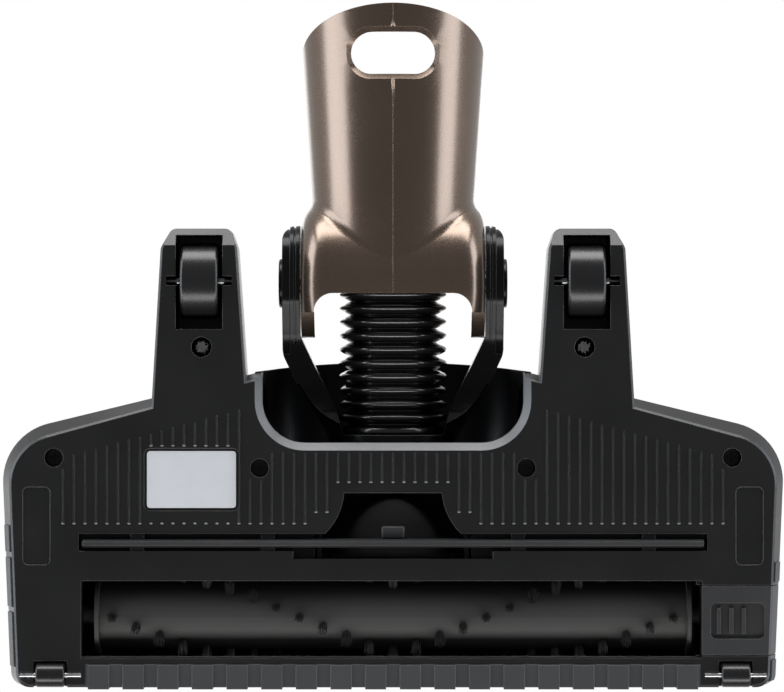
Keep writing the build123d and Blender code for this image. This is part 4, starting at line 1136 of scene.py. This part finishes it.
@dataclass
class Studio:
    """Pale floor, soft light and the camera below the brush."""

    mm_per_pixel: float = 0.3673
    centre_pixel: Tuple[float, float] = (393.0, 346.0)
    distance: float = 1.5
    sensor: float = 36.0
    nearest: float = 0.05
    farthest: float = 50.0
    floor_half: float = 6.0
    floor_cloud: float = 0.4
    floor_tones: Tuple[Colour, Colour] = ((0.78, 0.78, 0.77), (0.83, 0.83, 0.82))
    backdrop: float = 1.0
    backdrop_share: float = 0.45
    backdrop_rise: float = 2.2
    backdrop_start: float = 0.1
    surround: float = 0.135
    lights: Tuple[Softbox, ...] = (
        Softbox("side_light_right", (0.95, 0.1, -0.15), 1.7, 0.55, 4.4, COOL),
        Softbox("side_light_left", (-0.95, 0.1, -0.17), 1.7, 0.45, 4.2, COOL),
        Softbox("front_light", (0.0, -1.0, -0.8), 2.6, 0.45, 5.0),
        Softbox("rear_light", (0.0, 1.2, -0.1), 1.6, 0.6, 7.0),
        Softbox("top_light", (0.2, -0.3, 1.4), 1.6, 1.6, 1.2),
    )

    def floor(self) -> None:
        """Lay a large pale floor at z = 0 that shows from above only."""
        mesh = bmesh.new()
        bmesh.ops.create_grid(mesh, x_segments=1, y_segments=1, size=self.floor_half)
        data = bpy.data.meshes.new("studio_floor")
        mesh.to_mesh(data)
        mesh.free()
        floor = bpy.data.objects.new("studio_floor", data)
        bpy.context.scene.collection.objects.link(floor)
        data.materials.append(self.floor_paint())
        floor.visible_diffuse = False
        floor.visible_glossy = False
        floor.visible_transmission = False
        floor.visible_shadow = False

    def floor_paint(self) -> bpy.types.Material:
        """Pale paint that is clear from below.

        Returns:
            The material.
        """
        material = bpy.data.materials.new("pale_floor")
        tree = NodeTree(material)
        tone = tree.mix(tree.noise(self.floor_cloud, 3.0), *self.floor_tones)
        paint = tree.node("ShaderNodeBsdfDiffuse", {}, {"Color": tone})
        clear = tree.node("ShaderNodeBsdfTransparent")
        under = tree.node("ShaderNodeNewGeometry", output="Backfacing")
        tree.surface(tree.mix_shader(under, paint, clear))
        return material

    def world(self) -> None:
        """White backdrop behind the brush and a dimmer surround towards the camera."""
        world = bpy.data.worlds.new("studio")
        bpy.context.scene.world = world
        tree = NodeTree(world)
        seen = tree.node("ShaderNodeLightPath", output="Is Camera Ray")
        white, surround = (
            tree.node("ShaderNodeBackground", {}, {"Color": (1.0, 1.0, 1.0, 1.0), "Strength": strength})
            for strength in (self.backdrop, self.surround)
        )
        heading = tree.node("ShaderNodeTexCoord", output="Generated")
        height = tree.coordinate(heading, "Z") * self.backdrop_rise + self.backdrop_start
        above = height.at_least(0.0).at_most(self.backdrop_share)
        around = tree.mix_shader(above, surround, white)
        tree.surface(tree.mix_shader(seen, around, white), "ShaderNodeOutputWorld")

    def camera(self) -> None:
        """A long lens straight below the sole, rear of the brush up in the picture."""
        pixel = self.mm_per_pixel * MM
        data = bpy.data.cameras.new("photo_camera")
        data.sensor_width = self.sensor
        data.lens = self.sensor * self.distance / (IMAGE_WIDTH * pixel)
        data.clip_start = self.nearest
        data.clip_end = self.farthest
        camera = bpy.data.objects.new("photo_camera", data)
        shift_x = (self.centre_pixel[0] - IMAGE_WIDTH / 2) * pixel
        shift_y = (IMAGE_HEIGHT / 2 - self.centre_pixel[1]) * pixel
        camera.location = (shift_x, -shift_y, SOLE_Z - self.distance)
        camera.rotation_euler = (0.0, math.pi, 0.0)
        bpy.context.scene.collection.objects.link(camera)
        bpy.context.scene.camera = camera

    def build(self) -> None:
        """Set up floor, world, lights and camera."""
        self.floor()
        self.world()
        for light in self.lights:
            light.build()
        self.camera()
        bpy.context.scene.view_settings.view_transform = "Standard"


def main() -> None:
    """Build and dress the brush and set up the studio."""
    logging.basicConfig(level=logging.INFO, format="%(name)s: %(message)s")
    palette = Palette()
    Shell().dress(palette)
    LOG.info("dressed %d nodes", len(frame["nodes"]))
    for part in (Hose(), BristleRows(), RibTips(), BladeClip()):
        piece = part.build(palette)
        LOG.info("%s: %d faces", piece.name, len(piece.data.polygons))
    Studio().build()


if __name__ == "__main__":
    main()
